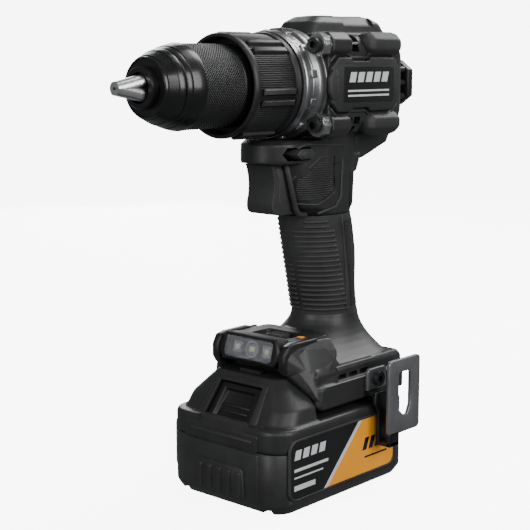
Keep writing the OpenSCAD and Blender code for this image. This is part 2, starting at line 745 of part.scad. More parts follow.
// Pocket for the label on each side of the pack
module label_pockets(depth, play) for (side = [-1, 1])
  translate([3, side * (pack_w / 2 - depth / 2), 22.3]) rotate([90, 0, 0])
    linear_extrude(depth, center = true) round_rect(86 + play, 31.4 + play, 6);

// Pack body from the height z to the seam, with a bevelled bottom edge
module tray_form(inset, z) {
  hull() {
    translate([0, 0, z]) linear_extrude(0.1) pack_outline(inset + 3.6);
    translate([0, 0, z + 4.4]) linear_extrude(0.1) pack_outline(inset);
  }
  translate([0, 0, z + 4.4]) linear_extrude(pack_seam_z - 4.4) pack_outline(inset);
}

module battery_lower_shell() color("#2a2b2c") difference() {
  tray_form(0, 0);
  tray_form(pack_wall, pack_wall);
  label_pockets(1, 0.3);
  translate([-pack_len / 2 - over, -18, 22]) rotate([0, 90, 0]) cylinder(h = 6, r = 3.2);
}

module battery_upper_shell() color("#242526") difference() {
  union() {
    translate([0, 0, pack_seam_z + 0.05]) linear_extrude(deck_z - pack_seam_z) pack_outline();
    tower_form(0);
    translate([rail_x[0], -stem_hy, deck_z - over]) cube([rail_x[1] - rail_x[0] + over, 2 * stem_hy, 12]);
    translate([rail_x[0], -rail_hy, rail_z[0]])
      cube([rail_x[1] - rail_x[0] + over, 2 * rail_hy, rail_z[1] - rail_z[0]]);
  }
  translate([0, 0, pack_seam_z - over]) linear_extrude(deck_z - pack_seam_z - 0.6) pack_outline(pack_wall);
  tower_form(2.4);
  translate([rail_x[0] + 2, -stem_hy + 2, 40]) cube([rail_x[1] - rail_x[0] + 4, 2 * stem_hy - 4, 15.4]);
  // Slots that the foot's blades slide in, open at the back
  for (y = [-13.5, -4.5, 4.5, 13.5]) translate([rail_x[0] - over, y - 1.2, 50.6]) cube([36, 2.4, 12]);
  on_panel() translate([0, 0, -12]) linear_extrude(32) round_rect(25.4, 32.4, 3);
  translate([24.8, -7.6, 58]) cube([7, 15.2, 8]);
  label_pockets(1, 0.3);
}

// Ten cells across the pack in two layers
module battery_cells() color("#3f6f8f") for (z = [12.2, 30.9], i = [-2:2])
  cross_rod(-cell_len / 2, cell_len / 2, cell_r, 18.6 * i - 1.6, z);

// Two frames that hold the ends of the cells
module cell_frames() color("#3b3d3f") for (side = [-1, 1]) difference() {
  along_y(side * 31 - 1.5, side * 31 + 1.5) translate([-1.6, 21.6]) round_rect(92.4, 37.4, 6);
  for (z = [12.2, 30.9], i = [-2:2])
    cross_rod(side * 31 - 2, side * 31 + 2, cell_r + 0.05, 18.6 * i - 1.6, z);
}

// Circuit board in the rail block, with the four contact clips
module battery_board() color("#2b5a3c") {
  translate([-44, -19, 43.2]) cube([56, 38, 1.6]);
  for (y = [-13.5, -4.5, 4.5, 13.5], s = [-1, 1])
    translate([-34, y + s * 0.95 - 0.25, 44.6]) cube([16, 0.5, 8]);
}

module battery_labels() color("#d99a06") label_pockets(0.9, 0);

// Release button: sloping finger panel, arm and latch tooth
module release_button() color("#1b1c1d") {
  on_panel() difference() {
    translate([0, 0, -3.6]) linear_extrude(2.8) round_rect(24.6, 31.6, 2.6);
    translate([-1, 0, -2]) linear_extrude(3) round_rect(15, 25, 2);
  }
  translate([28.2, -7, 53.2]) cube([8.6, 14, 2.2]);
  translate([28.2, -7, 53.2]) cube([3, 14, 11.4]);
}

module gauge_button() color("#1b1c1d") translate([-pack_len / 2 - 0.6, -18, 22]) rotate([0, 90, 0]) {
  cylinder(h = 3, r = 2.9);
  translate([0, 0, 2.9]) cylinder(h = 1.2, r = 4);
}

housing_left();
housing_right();
rear_cap();
grip_left();
grip_right();
side_plate_left();
side_plate_right();
rear_bumpers();
housing_screws();
gear_case();
gear_case_screws();
gearbox_cover();
ring_gear_1();
ring_gear_2();
clutch_plate();
spindle_bearings();
motor_bearings();
stator();
switch_module();
controller();
motor_wires();
terminal_block();
led_housing();
led_lens();
belt_hook();
belt_hook_screw();
trigger_spring();
trigger();
direction_button();
speed_selector();
mode_switch();
torque_collar();
clutch_nut();
clutch_spring();
spindle();
chuck_body();
chuck_nose();
chuck_sleeve();
jaw_nut();
jaw_1();
jaw_2();
jaw_3();
carrier_1();
planet_1a();
planet_1b();
planet_1c();
planet_2a();
planet_2b();
planet_2c();
rotor();
motor_shaft();
fan();
battery_lower_shell();
battery_upper_shell();
battery_cells();
cell_frames();
battery_board();
battery_labels();
release_button();
gauge_button();
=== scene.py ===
"""Looks of the cordless drill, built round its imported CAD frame. Lengths are in millimetres until
mesh_object() turns them into metres. +X is forward along the spindle, +Y the left side, +Z up."""
from math import copysign, cos, radians, sin, sqrt, tau

import bmesh
import bpy
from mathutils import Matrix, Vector


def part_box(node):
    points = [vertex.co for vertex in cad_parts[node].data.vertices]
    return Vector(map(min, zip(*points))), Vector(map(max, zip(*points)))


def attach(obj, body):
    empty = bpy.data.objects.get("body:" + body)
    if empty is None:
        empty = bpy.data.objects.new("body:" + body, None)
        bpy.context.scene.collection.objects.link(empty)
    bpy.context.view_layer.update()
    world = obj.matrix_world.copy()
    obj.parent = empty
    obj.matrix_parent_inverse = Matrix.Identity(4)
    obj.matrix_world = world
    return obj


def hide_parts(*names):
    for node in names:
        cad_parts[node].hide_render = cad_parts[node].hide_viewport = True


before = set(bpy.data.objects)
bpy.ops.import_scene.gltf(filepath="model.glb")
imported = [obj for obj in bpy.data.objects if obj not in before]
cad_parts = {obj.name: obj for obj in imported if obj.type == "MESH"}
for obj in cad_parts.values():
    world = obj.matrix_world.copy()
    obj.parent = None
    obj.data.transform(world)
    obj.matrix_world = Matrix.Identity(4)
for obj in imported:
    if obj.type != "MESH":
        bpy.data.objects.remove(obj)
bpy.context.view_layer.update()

MM = 0.001


def mid(node, axis):
    """Middle of a CAD node's box along one axis, in millimetres."""
    lo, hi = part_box(node)
    return (lo[axis] + hi[axis]) / 2 / MM


def span(node, axis):
    """Lowest and highest place of a CAD node along one axis, in millimetres."""
    lo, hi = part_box(node)
    return lo[axis] / MM, hi[axis] / MM


SPINDLE = mid("chuck_sleeve", 2)                # height of the spindle's axis
PACK_X = span("battery_lower_shell", 0)[1]      # half length of the pack
PACK_Y = span("battery_lower_shell", 1)[1]      # half width of the pack
CORNERS = [(sy, sz) for sy in (1, -1) for sz in (1, -1)]
CASE_SCREW_Y, CASE_SCREW_Z = 24, 19.5           # gear case screws, from the spindle
GRIP_Y = 17                                     # half width of the handle
TRIGGER_Z = 157                                 # height of the trigger's stem and spring
HOLE_R = 3.5                                    # counterbore of a housing screw
SHIFT_X, SHIFT_Z = 11, 173.6                    # middle of the direction button
COVER_Y, PRINT_Y = 30.05, 30.24                 # face of a side cover and of the print on it
LABEL_X, LABEL_Z = 3, 22.3                      # middle of a pack label
GAUGE_Y, GAUGE_Z = -18, 22                      # middle of the gauge button


# ---- mesh building

def out(side, a, b):
    """Range from a to b on the left (side 1) or on the right (side -1)."""
    return sorted((side * a, side * b))


def linked(name, data):
    """New object in the scene for a mesh, light or camera."""
    o = bpy.data.objects.new(name, data)
    bpy.context.scene.collection.objects.link(o)
    return o


def from_bmesh(name, bm):
    mesh = bpy.data.meshes.new(name)
    bm.to_mesh(mesh)
    bm.free()
    return linked(name, mesh)


def outward(o, weld=0.0):
    """Turns every face of a closed mesh outwards, after joining points closer than weld metres."""
    bm = bmesh.new()
    bm.from_mesh(o.data)
    if weld:
        bmesh.ops.remove_doubles(bm, verts=bm.verts, dist=weld)
    bmesh.ops.recalc_face_normals(bm, faces=bm.faces)
    bm.to_mesh(o.data)
    bm.free()
    return o


def mesh_object(name, verts, faces):
    """Object from points in millimetres."""
    mesh = bpy.data.meshes.new(name)
    mesh.from_pydata([tuple(c * MM for c in v) for v in verts], [], faces)
    mesh.update()
    return outward(linked(name, mesh))


def hull(name, points):
    """Convex hull of points."""
    bm = bmesh.new()
    for p in points:
        bm.verts.new(Vector(p) * MM)
    made = bmesh.ops.convex_hull(bm, input=bm.verts)
    spare = {g for g in made["geom_interior"] + made["geom_unused"] if isinstance(g, bmesh.types.BMVert)}
    bmesh.ops.delete(bm, geom=list(spare), context="VERTS")
    bmesh.ops.recalc_face_normals(bm, faces=bm.faces)
    return from_bmesh(name, bm)


def strips(n, count, closed=False):
    """Faces between count loops of n points. When closed, the last loop is joined to the first."""
    return [(k * n + i, k * n + (i + 1) % n, (k + 1) % count * n + (i + 1) % n, (k + 1) % count * n + i)
            for k in range(count if closed else count - 1) for i in range(n)]


def loft(name, rings):
    """Closed skin over rings that have the same number of points."""
    n = len(rings[0])
    ends = [tuple(reversed(range(n))), tuple(range((len(rings) - 1) * n, len(rings) * n))]
    return mesh_object(name, [p for ring in rings for p in ring], strips(n, len(rings)) + ends)


def loft_ring(name, rings):
    """Closed ring of skin through loops, the last joined to the first."""
    return mesh_object(name, [p for ring in rings for p in ring], strips(len(rings[0]), len(rings), True))


def box(name, x, y, z):
    return hull(name, [(a, b, c) for a in x for b in y for c in z])


def prism(name, outline, lo, hi, plane="xz"):
    """Outline in a plane, thickened from lo to hi across it."""
    place = {"xz": lambda a, b, c: (a, c, b), "yz": lambda a, b, c: (c, a, b), "xy": lambda a, b, c: (a, b, c)}[plane]
    return loft(name, [[place(a, b, c) for a, b in outline] for c in (lo, hi)])


def rounded(w, d, r):
    """Rectangle of full size w by d with round corners, as a loop of points round the origin."""
    loop = []
    for k, (sx, sy) in enumerate([(1, 1), (-1, 1), (-1, -1), (1, -1)]):
        for i in range(7):
            a = radians(90 * (k + i / 6))
            loop.append((sx * (w / 2 - r) + r * cos(a), sy * (d / 2 - r) + r * sin(a)))
    return loop


def circle(r, steps=24, u=0, v=0):
    """Loop of points round the place (u, v)."""
    return [(u + r * cos(k / steps * tau), v + r * sin(k / steps * tau)) for k in range(steps)]


def octagon(x, r, y, z):
    """Eight-sided ring across the spindle direction, centred y and z away from the spindle."""
    turns = [radians(45 * k + 22.5) for k in range(8)]
    return [(x, y + r * cos(a), SPINDLE + z + r * sin(a)) for a in turns]


def slab(x0, x1, hy, z, r):
    """Level rounded rectangle at height z."""
    return [((x0 + x1) / 2 + a, b, z) for a, b in rounded(x1 - x0, 2 * hy, r)]


def oval(x, z, a, b):
    """Level oval at height z."""
    turns = [tau * i / 56 for i in range(56)]
    return [(x + a * cos(t), b * sin(t), z) for t in turns]


def section(x, hy, hz, r):
    """Rounded rectangle across the spindle direction."""
    return [(x, a, SPINDLE + b) for a, b in rounded(2 * hy, 2 * hz, r)]


def lathe(name, profile, steps=144, y=0.0, z=0.0, ripple=None):
    """Closed profile of (x, r) points turned round a line parallel to the spindle.
    ripple(x, angle, r) adds to the radius."""
    rings = []
    for i in range(steps):
        a = tau * i / steps
        ring = []
        for x, r in profile:
            radius = r + (ripple(x, a, r) if ripple else 0)
            ring.append((x, y + radius * cos(a), SPINDLE + z + radius * sin(a)))
        rings.append(ring)
    return outward(loft_ring(name, rings), weld=1e-6)


def rod(name, x, r, y=0.0, z=0.0, steps=48):
    return lathe(name, [(x[0], 0), (x[0], r), (x[1], r), (x[1], 0)], steps, y, z)


def tube(name, path, r, steps, flat=1.0):
    """Closed tube along a list of points with rounded ends."""
    pts = [Vector(p) for p in path]
    count = len(pts)
    turns = [tau * k / steps for k in range(steps)]

    def end_ring(ring, centre, inside):
        beyond = (centre - inside).normalized()
        return [p + (centre - p) * 0.45 + beyond * r * 0.7 for p in ring]
    rings = []
    for i, p in enumerate(pts):
        d = (pts[min(i + 1, count - 1)] - pts[max(i - 1, 0)]).normalized()
        side = d.cross(Vector((0, 0, 1)))
        side = side.normalized() if side.length > 1e-3 else Vector((0, 1, 0))
        up = side.cross(d)
        rings.append([p + r * (cos(t) * side + flat * sin(t) * up) for t in turns])
    return loft(name, [end_ring(rings[0], pts[0], pts[1]), *rings, end_ring(rings[-1], pts[-1], pts[-2])])


# ---- mesh changes

def applied(o, kind, **settings):
    """Adds a modifier, applies it and returns the object."""
    m = o.modifiers.new(kind, kind)
    for key, value in settings.items():
        setattr(m, key, value)
    dg = bpy.context.evaluated_depsgraph_get()
    made = bpy.data.meshes.new_from_object(o.evaluated_get(dg), depsgraph=dg)
    old = o.data
    o.modifiers.clear()
    o.data = made
    bpy.data.meshes.remove(old)
    return o


def combine(o, others, operation="DIFFERENCE"):
    """Boolean of o with every object in others, which are used up."""
    for other in others:
        applied(o, "BOOLEAN", object=other, operation=operation, solver="MANIFOLD")
        bpy.data.objects.remove(other)
    return o


def joined(name, parts):
    """One object with the meshes of all parts."""
    bm = bmesh.new()
    for p in parts:
        bm.from_mesh(p.data)
        bpy.data.objects.remove(p)
    return from_bmesh(name, bm)


def moulded(o, voxel, smooth, keep=1.0):
    """Welds a mesh into one skin with soft edges, as a moulding has."""
    applied(o, "REMESH", mode="VOXEL", voxel_size=voxel * MM)
    applied(o, "SMOOTH", factor=0.5, iterations=smooth)
    if keep < 1:
        applied(o, "DECIMATE", ratio=keep)
    return o


def bevelled(o, width, segments=2, angle=35):
    """Rounds every edge that is sharper than angle."""
    return applied(o, "BEVEL", width=width * MM, segments=segments, limit_method="ANGLE",
                   angle_limit=radians(angle))


def copy_of(o, name):
    c = o.copy()
    c.data = o.data.copy()
    c.name = name
    bpy.context.scene.collection.objects.link(c)
    return c


def split_sides(o, left, right):
    """Cuts a piece at the middle plane into a left and a right one."""
    made = []
    for name, y in ((left, (0.05, 200)), (right, (-200, -0.05))):
        part = copy_of(o, name)
        made.append(combine(part, [box("cut", (-300, 300), y, (-50, 400))], "INTERSECT"))
    bpy.data.objects.remove(o)
    return made


def placed(o, finish, stands_for=(), angle=38, body="tool_body"):
    """Gives a finished piece its shading, material, body and the CAD nodes that it stands for."""
    o.data.shade_smooth()
    o.data.set_sharp_from_angle(angle=radians(angle))
    o.data.materials.clear()
    o.data.materials.append(finish)
    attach(o, body)
    if stands_for:
        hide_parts(*stands_for)
    return o


# ---- materials

def node(tree, kind, links=(), **values):
    """New shader node with its values, and links of (socket, source)."""
    n = tree.nodes.new("ShaderNode" + kind)
    for key, value in values.items():
        if key in n.inputs:
            n.inputs[key].default_value = value
        else:
            setattr(n, key, value)
    for socket, source in links:
        tree.links.new(source, n.inputs[socket])
    return n


def worn_edges(t, colour, colour_out, slow, wear):
    """Colour that turns paler along the edges of a mesh, in patches."""
    edges = node(t, "NewGeometry").outputs["Pointiness"]
    mask = node(t, "MapRange", [("Value", edges)], **{"From Min": 0.53, "From Max": 0.62})
    patchy = node(t, "Math", [(0, mask.outputs[0]), (1, slow.outputs["Fac"])], operation="MULTIPLY")
    amount = node(t, "Math", [(0, patchy.outputs[0])], operation="MULTIPLY")
    amount.inputs[1].default_value = wear
    worn = node(t, "Mix", [(0, amount.outputs[0]), (6, colour_out)], data_type="RGBA")
    worn.inputs[7].default_value = (*[min(1, c * 2.6 + 0.05) for c in colour], 1)
    return worn.outputs[2]


def material(name, colour, rough, metal=0.0, grain=0.3, depth=0.02, mottle=0.1, wear=0.0, coat=0.0, glow=0.0,
             clear=0.0):
    """Moulded or machined surface: fine grain, slow colour and gloss changes, and paler worn edges.
    grain is the size of the texture in millimetres and depth its height."""
    m = bpy.data.materials.new(name)
    m.use_nodes = True
    t = m.node_tree
    t.nodes.clear()
    shine = 0.5 if metal or clear or max(colour) > 0.1 else 0.3
    shader = node(t, "BsdfPrincipled", **{"Metallic": metal, "Coat Weight": coat, "Coat Roughness": 0.08,
                                          "Specular IOR Level": shine, "Transmission Weight": clear})
    node(t, "OutputMaterial", [(0, shader.outputs[0])])
    place = node(t, "TexCoord").outputs["Object"]
    fine = node(t, "TexNoise", [("Vector", place)], Scale=1 / (grain * MM), Detail=3.0, Roughness=0.6)
    slow = node(t, "TexNoise", [("Vector", place)], Scale=55.0, Detail=5.0, Roughness=0.65)
    pale = [min(1.0, c * (1 + 2.2 * mottle) + 0.004 * mottle) for c in colour]
    dark = [c * (1 - mottle) for c in colour]
    ramp = node(t, "ValToRGB", [("Fac", slow.outputs["Fac"])])
    for stop, place_on, shade in zip(ramp.color_ramp.elements, (0.35, 0.65), (dark, pale)):
        stop.position, stop.color = place_on, (*shade, 1)
    colour_out = ramp.outputs[0]
    if wear:
        colour_out = worn_edges(t, colour, colour_out, slow, wear)
    t.links.new(colour_out, shader.inputs["Base Color"])
    gloss = node(t, "MapRange", [("Value", slow.outputs["Fac"])],
                 **{"To Min": max(0.02, rough - 0.05), "To Max": min(1.0, rough + 0.07)})
    t.links.new(gloss.outputs[0], shader.inputs["Roughness"])
    bump = node(t, "Bump", [("Height", fine.outputs["Fac"])], Strength=1.0, Distance=depth * MM)
    t.links.new(bump.outputs[0], shader.inputs["Normal"])
    if glow:
        shader.inputs["Emission Color"].default_value = (*colour, 1)
        shader.inputs["Emission Strength"].default_value = glow
    return m


PLASTIC = material("charcoal_plastic", (0.0135, 0.0135, 0.0138), 0.42, grain=0.35, depth=0.035, wear=0.5)
RUBBER = material("soft_grip", (0.0165, 0.0165, 0.0168), 0.55, grain=0.25, depth=0.05, mottle=0.12, wear=0.3)
STIPPLE = material("stippled_grip", (0.005, 0.005, 0.0052), 0.7, grain=0.9, depth=0.35, mottle=0.2)
TRIM = material("black_trim", (0.004, 0.004, 0.0042), 0.38, depth=0.03, wear=0.4)
CONTROL = material("control_plastic", (0.017, 0.017, 0.0173), 0.5, grain=0.28, depth=0.04, wear=0.5)
PLATE = material("cover_plate", (0.012, 0.012, 0.0123), 0.5, depth=0.04, wear=0.6)
CASE = material("cast_case", (0.17, 0.17, 0.172), 0.27, metal=0.9, grain=0.5, depth=0.05, mottle=0.16, wear=0.8)
COLLAR = material("collar_plastic", (0.005, 0.005, 0.0052), 0.4, depth=0.03, wear=0.5)
CHUCK = material("chuck_black", (0.004, 0.004, 0.0042), 0.27, grain=0.9, depth=0.0003, mottle=0.08, coat=0.12)
KNURL = material("knurled_black", (0.006, 0.006, 0.0062), 0.33, grain=0.5, depth=0.015, wear=0.5)
JAW = material("jaw_steel", (0.52, 0.515, 0.505), 0.24, metal=1.0, grain=0.25, mottle=0.06, wear=0.3)
GEAR = material("gear_steel", (0.42, 0.425, 0.43), 0.3, metal=1.0, grain=0.4, mottle=0.06)
BEARING = material("bearing_steel", (0.62, 0.63, 0.64), 0.18, metal=1.0, grain=0.5, depth=0.01, mottle=0.04)
SPRING = material("spring_steel", (0.5, 0.5, 0.51), 0.28, metal=1.0, mottle=0.05)
SCREW = material("black_screw", (0.012, 0.012, 0.013), 0.3, metal=0.7, grain=0.2, mottle=0.15, wear=1.0)
HOOK = material("coated_steel", (0.15, 0.153, 0.158), 0.36, metal=0.75, grain=0.22, depth=0.04, mottle=0.08, wear=0.6)
STATOR = material("stator_copper", (0.25, 0.13, 0.06), 0.42, metal=0.6, grain=0.7, depth=0.1, mottle=0.25)
BOARD = material("circuit_board", (0.012, 0.06, 0.028), 0.4, grain=0.6, depth=0.05, mottle=0.2, coat=0.3)
WIRE = material("wire_cover", (0.02, 0.02, 0.02), 0.45)
LENS = material("lamp_lens", (0.27, 0.28, 0.29), 0.05, grain=2.0, depth=0.002, mottle=0.01, clear=1.0)
CELL = material("cell_sleeve", (0.05, 0.16, 0.25), 0.4, grain=0.8, coat=0.2)
YELLOW = material("label_yellow", (0.68, 0.255, 0.0), 0.5, grain=0.5, depth=0.004, mottle=0.02)
LABEL_BLACK = material("label_black", (0.005, 0.005, 0.005), 0.3, grain=0.5, depth=0.008, mottle=0.06, coat=0.15)
SILVER = material("printed_silver", (0.58, 0.585, 0.59), 0.36, metal=0.3, depth=0.01, mottle=0.05)
LAMP = material("lamp_chip", (0.9, 0.82, 0.5), 0.4, grain=0.4, mottle=0.05, glow=0.15)
MIRROR = material("lamp_reflector", (0.22, 0.225, 0.23), 0.2, metal=1.0, grain=0.8, mottle=0.05)
ORANGE = material("mark_orange", (0.75, 0.22, 0.02), 0.45, depth=0.01, mottle=0.05)


# ---- housing

def barrel():
    return loft("barrel", [section(x, hy, hz, 9) for x, hy, hz in
                           ((-62, 23, 20.6), (-60.6, 24, 21.6), (-54.6, 27.3, 24.9), (3.7, 27.3, 24.9))])


def bosses():
    """Tubes round the four screws that hold the gear case."""
    return [loft("boss", [octagon(x, r, sy * CASE_SCREW_Y, sz * CASE_SCREW_Z)
                          for x, r in ((3.7, 6.9), (-9.5, 6.9), (-12.6, 5.6), (-14.2, 3.2))]) for sy, sz in CORNERS]


def hump():
    """Raised top of the barrel."""
    return hull("hump", slab(-66, 1.2, 13, 226, 6) + slab(-64.6, 0.6, 12.3, 233, 5) + slab(-61, -3.4, 11.2, 238.4, 5)
                + slab(-55.5, -8.5, 8.6, 241.2, 5) + slab(-50, -16, 5.0, 242.0, 4))


def neck(g=0.0):
    """Blocks between the barrel and the handle, grown by g."""
    return [hull("neck", slab(-38 - g, 3.6 + g, 17.4 + g, 184, 12) + slab(-38 - g, 3.6 + g, 17.4 + g, 168, 12)),
            hull("neck", slab(-37.4 - g, 18 + g, 17 + g, 168.8, 11) + slab(-36.4 - g, 8 + g, 16.8 + g, 146, 11)
                 + oval(-18.6, 141, 21.6 + g, 16.8 + g)),
            hull("neck", slab(-71 - g, -30, 15.5 + g, 184, 9) + slab(-67 - g, -30, 15 + g, 176, 9)
                 + slab(-47 - g, -28, 14 + g, 168.6, 8)),
            hull("neck", slab(-44 - g, -28, 15.4 + g, 171, 9) + slab(-37.4 - g, -26, 15 + g, 162, 9))]


def handle(grow=0.0):
    rows = ((141, -18.6, 21.6), (134, -20, 22), (127, -21.4, 22), (120, -22.7, 21.8), (112, -23.9, 20.6),
            (103, -24.9, 18.8), (95, -26.3, 17.8), (88, -27.6, 18.2), (84, -28, 18.8))
    return loft("handle", [oval(x, z, a + grow, GRIP_Y + grow) for z, x, a in rows])


def chin():
    """Rounded front of the neck, over the trigger."""
    return hull("chin", oval(14.2, 168.6, 15.9, 16.2) + oval(14, 170.4, 16.1, 16.7) + oval(14, 178.2, 15.9, 16.6)
                + oval(12.6, 180.2, 14.6, 15.2) + slab(-12, 2, 17.2, 169.2, 6) + slab(-12, 2, 17.2, 180, 6))


def flare():
    """Spread of the handle into the foot, a hollow curve on all sides."""
    rings = []
    for i in range(9):
        t = i / 8
        z = 88 - 23 * t
        s = t ** 1.9
        a, b = 18.6 + 17.4 * s, 17 + 16.4 * s
        cx = -27.8 + 12.0 * s
        p = 2 + 2.6 * s
        ring = []
        for k in range(56):
            c, d = cos(tau * k / 56), sin(tau * k / 56)
            ring.append((cx + a * copysign(abs(c) ** (2 / p), c), b * copysign(abs(d) ** (2 / p), d), z))
        rings.append(ring)
    return loft("flare", rings)


def foot(s):
    """Side block, deck and lamp cheek of the foot, on the left (s 1) or on the right (s -1)."""
    block = [(20.2, 48.5), (18.6, 57.9), (14, 58.8), (-50, 58.8), (-52.2, 56), (-52.2, 46.2), (17, 46.2)]
    inner = [(18.6, 49.5), (17, 57), (13, 58.6), (-48.6, 58.6), (-50.4, 55), (-50.4, 47), (16, 47)]
    parts = [loft("block", [[(x, s * 20, z) for x, z in block], [(x, s * 34.6, z) for x, z in block],
                            [(x, s * 36, z) for x, z in inner]])]
    parts.append(hull("deck", [(x, s * y, z) for x in (-51.6, 19) for y in (0, 33.6) for z in (57, 64)]
                      + [(x, s * y, 66.5) for x in (-50.5, 17) for y in (0, 32)]))
    cheek = [(-2, 25, 80), (29, 22.4, 80.3), (30.4, 23.6, 79.2), (33.3, 24.0, 75), (33.3, 24.2, 68.6),
             (31.6, 24.4, 65.2), (22, 20, 65.2), (4, 20, 66), (-2, 30, 73), (20.4, 30.4, 65.4), (29, 20.3, 80.3),
             (33, 20.3, 75), (33, 20.3, 68), (31, 20.3, 65.2)]
    low = [(20.4, 30.8, 66), (23.4, 31.5, 60), (20.3, 34.8, 53), (14, 35.4, 50), (9, 35.2, 54), (6, 32.6, 68),
           (12, 20, 52), (19, 20, 64), (-2, 30, 73), (26.6, 27.6, 66.4), (19, 24, 52)]
    for name, points in (("cheek", cheek), ("cheek_low", low)):
        parts.append(hull(name, [(x, s * y, z) for x, y, z in points]))
    return parts


def housing_cuts():
    """Everything that is open in the housing: motor space, trigger, buttons, vents and the pack's rail."""
    cuts = [rod("motor_space", (-60.4, 5), 23.9, steps=96),
            box("trigger_space", (-6, 50), (-9.3, 9.3), (142.2, 168.9)),
            box("rail", (-50.2, 40), (-28.5, 28.5), (50.5, 57.9)),
            box("rail_neck", (-50.2, 40), (-22.9, 22.9), (30, 53)),
            box("terminals", (-34.5, -3.5), (-18.5, 18.5), (56, 69.4)),
            box("selector_slot", (-41, -16), (-6.4, 6.4), (237.4, 250)),
            prism("direction_slot", [(2.4, 173.6), (5, 170.3), (20.4, 170.3), (22.8, 173.6), (20.4, 176.9),
                                     (5, 176.9)],
                  -30, 30),
            hull("mode_slot", slab(3.6, 16.6, 12, 76.2, 2) + slab(3.0, 17.4, 12.8, 82, 2))]
    for s in (1, -1):
        cuts.append(prism("hump_facet", [(s * 5.4, 243), (s * 15, 243), (s * 15, 236.4), (s * 11.3, 236.6),
                                         (s * 9.4, 238.2)], -52.5, -27.5, "yz"))
        cuts.append(box("collar_room", (5, 60), (0, s * 20), (181.6, 190)))
        for k in range(4):
            x = 11.6 - 9.2 * k
            cuts.append(hull("foot_vent", [(x - d, s * y, z) for d in (0, 7) for y in (30, 40)
                                           for z in (59.6, 61.8)]))
    for sy, sz in CORNERS:
        for k, z in enumerate((16.2, 21.0)):
            x = -15.4 - 1.6 * k if sz > 0 else -17 + 1.6 * k
            cuts.append(hull("vent", [(x - d, sy * y, SPINDLE + sz * h) for d in (0, 5.0)
                                      for y in (14, 32) for h in (z, z + 3.6)]))
        cuts.append(rod("screw_hole", (-16, 6), 4.4, sy * CASE_SCREW_Y, sz * CASE_SCREW_Z, 24))
    return cuts


def screw_holes():
    """Counterbores in the right half, over the seven housing screws."""
    places = ((-60, 178), (-58, 235), (-29, 126), (-32, 100), (-43.5, 63.6), (8, 64), (-3, 180))
    return [prism("hole", circle(HOLE_R, 24, x, z), -45, -7.05) for x, z in places]


def make_housing():
    shell = joined("shell", [barrel(), *bosses(), hump(), *neck(), handle(-1.6), chin(), flare(), *foot(1), *foot(-1),
                             hull("shelf", slab(-6, 21.6, 24.5, 66, 4) + slab(-6, 20.4, 21, 80, 4))])
    moulded(shell, 0.6, 4, 0.45)
    combine(shell, housing_cuts())
    left, right = split_sides(shell, "shell_left", "shell_right")
    combine(right, screw_holes())
    placed(left, PLASTIC, ["housing_left"])
    placed(right, PLASTIC, ["housing_right"])


make_housing()


# ---- soft grip, and details of the foot

def grip_ribs(side):
    """Rounded ribs from the front of the handle to its side, and the bead along their ends."""
    ribs = []
    for k in range(19):
        z = 137.6 - 2.62 * k
        t = (z - 84) / 57
        cx = -28.3 + 9.7 * t ** 0.9
        a = 17.9 + 3.9 * t ** 1.2
        first, last = (5, 74 + 0.7 * k) if k > 1 else (30, 66)
        path = []
        for i in range(13):
            g = radians(first + (last - first) * i / 12)
            path.append((cx + (a - 0.1) * cos(g), side * (GRIP_Y - 0.05) * sin(g), z))
        ribs.append(tube("rib", path, 0.85, 8, 0.95))
    edge = [(-20.6 - 0.17 * (138 - z) + 0.0016 * (138 - z) ** 2, side * GRIP_Y, z) for z in range(90, 141, 5)]
    ribs.append(tube("edge", edge, 0.7, 10))
    return ribs


def make_grips():
    """Two rubber halves, each with its ribs."""
    skin = combine(handle(), [handle(-1.55)])
    combine(skin, [box("cut", (-80, 20), (-30, 30), (86.4, 140.8))], "INTERSECT")
    for side, name in ((1, "grip_left"), (-1, "grip_right")):
        half = combine(copy_of(skin, "half"), [box("cut", (-80, 20), out(side, 0.05, 40), (0, 200))], "INTERSECT")
        ribs = grip_ribs(side)
        if side < 0:
            combine(half, screw_holes())
        placed(joined(name + "_skin", [half, *ribs]), RUBBER, [name], 50)
    bpy.data.objects.remove(skin)


# outline of the grooved panel beside the trigger
PANEL = [(11, 160.6), (-3.8, 169.7), (-11.8, 169.2), (-12.9, 153.8), (-0.9, 149.1), (10.1, 150.1)]


def neck_side(x, z):
    """Half width of the neck at a place on it."""
    turn = -3 + 0.44 * (z - 146)
    return 17.0 if x < turn else 6.0 + sqrt(max(0.0, 121 - (x - turn) ** 2))


def make_foot_details():
    """Crisp lamp cheeks with a gusset down to the side block, the ridge over the vents and the switch mark."""
    outline = [(4, 66), (31.4, 65.4), (33.5, 69), (33.5, 75.2), (30.8, 79.9), (26, 81), (8, 81)]
    brace = [(30.6, 24.2, 66.2), (29.8, 20.6, 65.4), (24.4, 30.2, 60.6), (20.6, 35.2, 51.4), (14, 35.8, 49.4),
             (4, 35.4, 56), (-2, 32.6, 67), (6, 29.6, 77.4), (20, 26.4, 78.6), (27, 25.4, 73.6), (12, 24, 52)]
    edge = ((31, 64.6), (34.2, 64.2), (33.4, 66.2), (31, 66.8))
    for side in (1, -1):
        cheek = bevelled(prism("cheek", outline, *out(side, 20.4, 25.0)), 1.0, 3)
        placed(cheek, TRIM)
        gusset = hull("gusset", [(x, side * y, z) for x, y, z in brace])
        ridge = hull("ridge", [(x, side * y, z) for x in (-28, 3) for y, z in edge])
        parts = [bevelled(gusset, 1.6, 3, 8), bevelled(ridge, 0.5, 3)]
        placed(joined("foot_panels", parts), PLASTIC, angle=20)
    mark = bevelled(box("mark", (9, 11.6), (14.2, 17.4), (80.1, 80.6)), 0.15, 2)
    placed(mark, ORANGE)


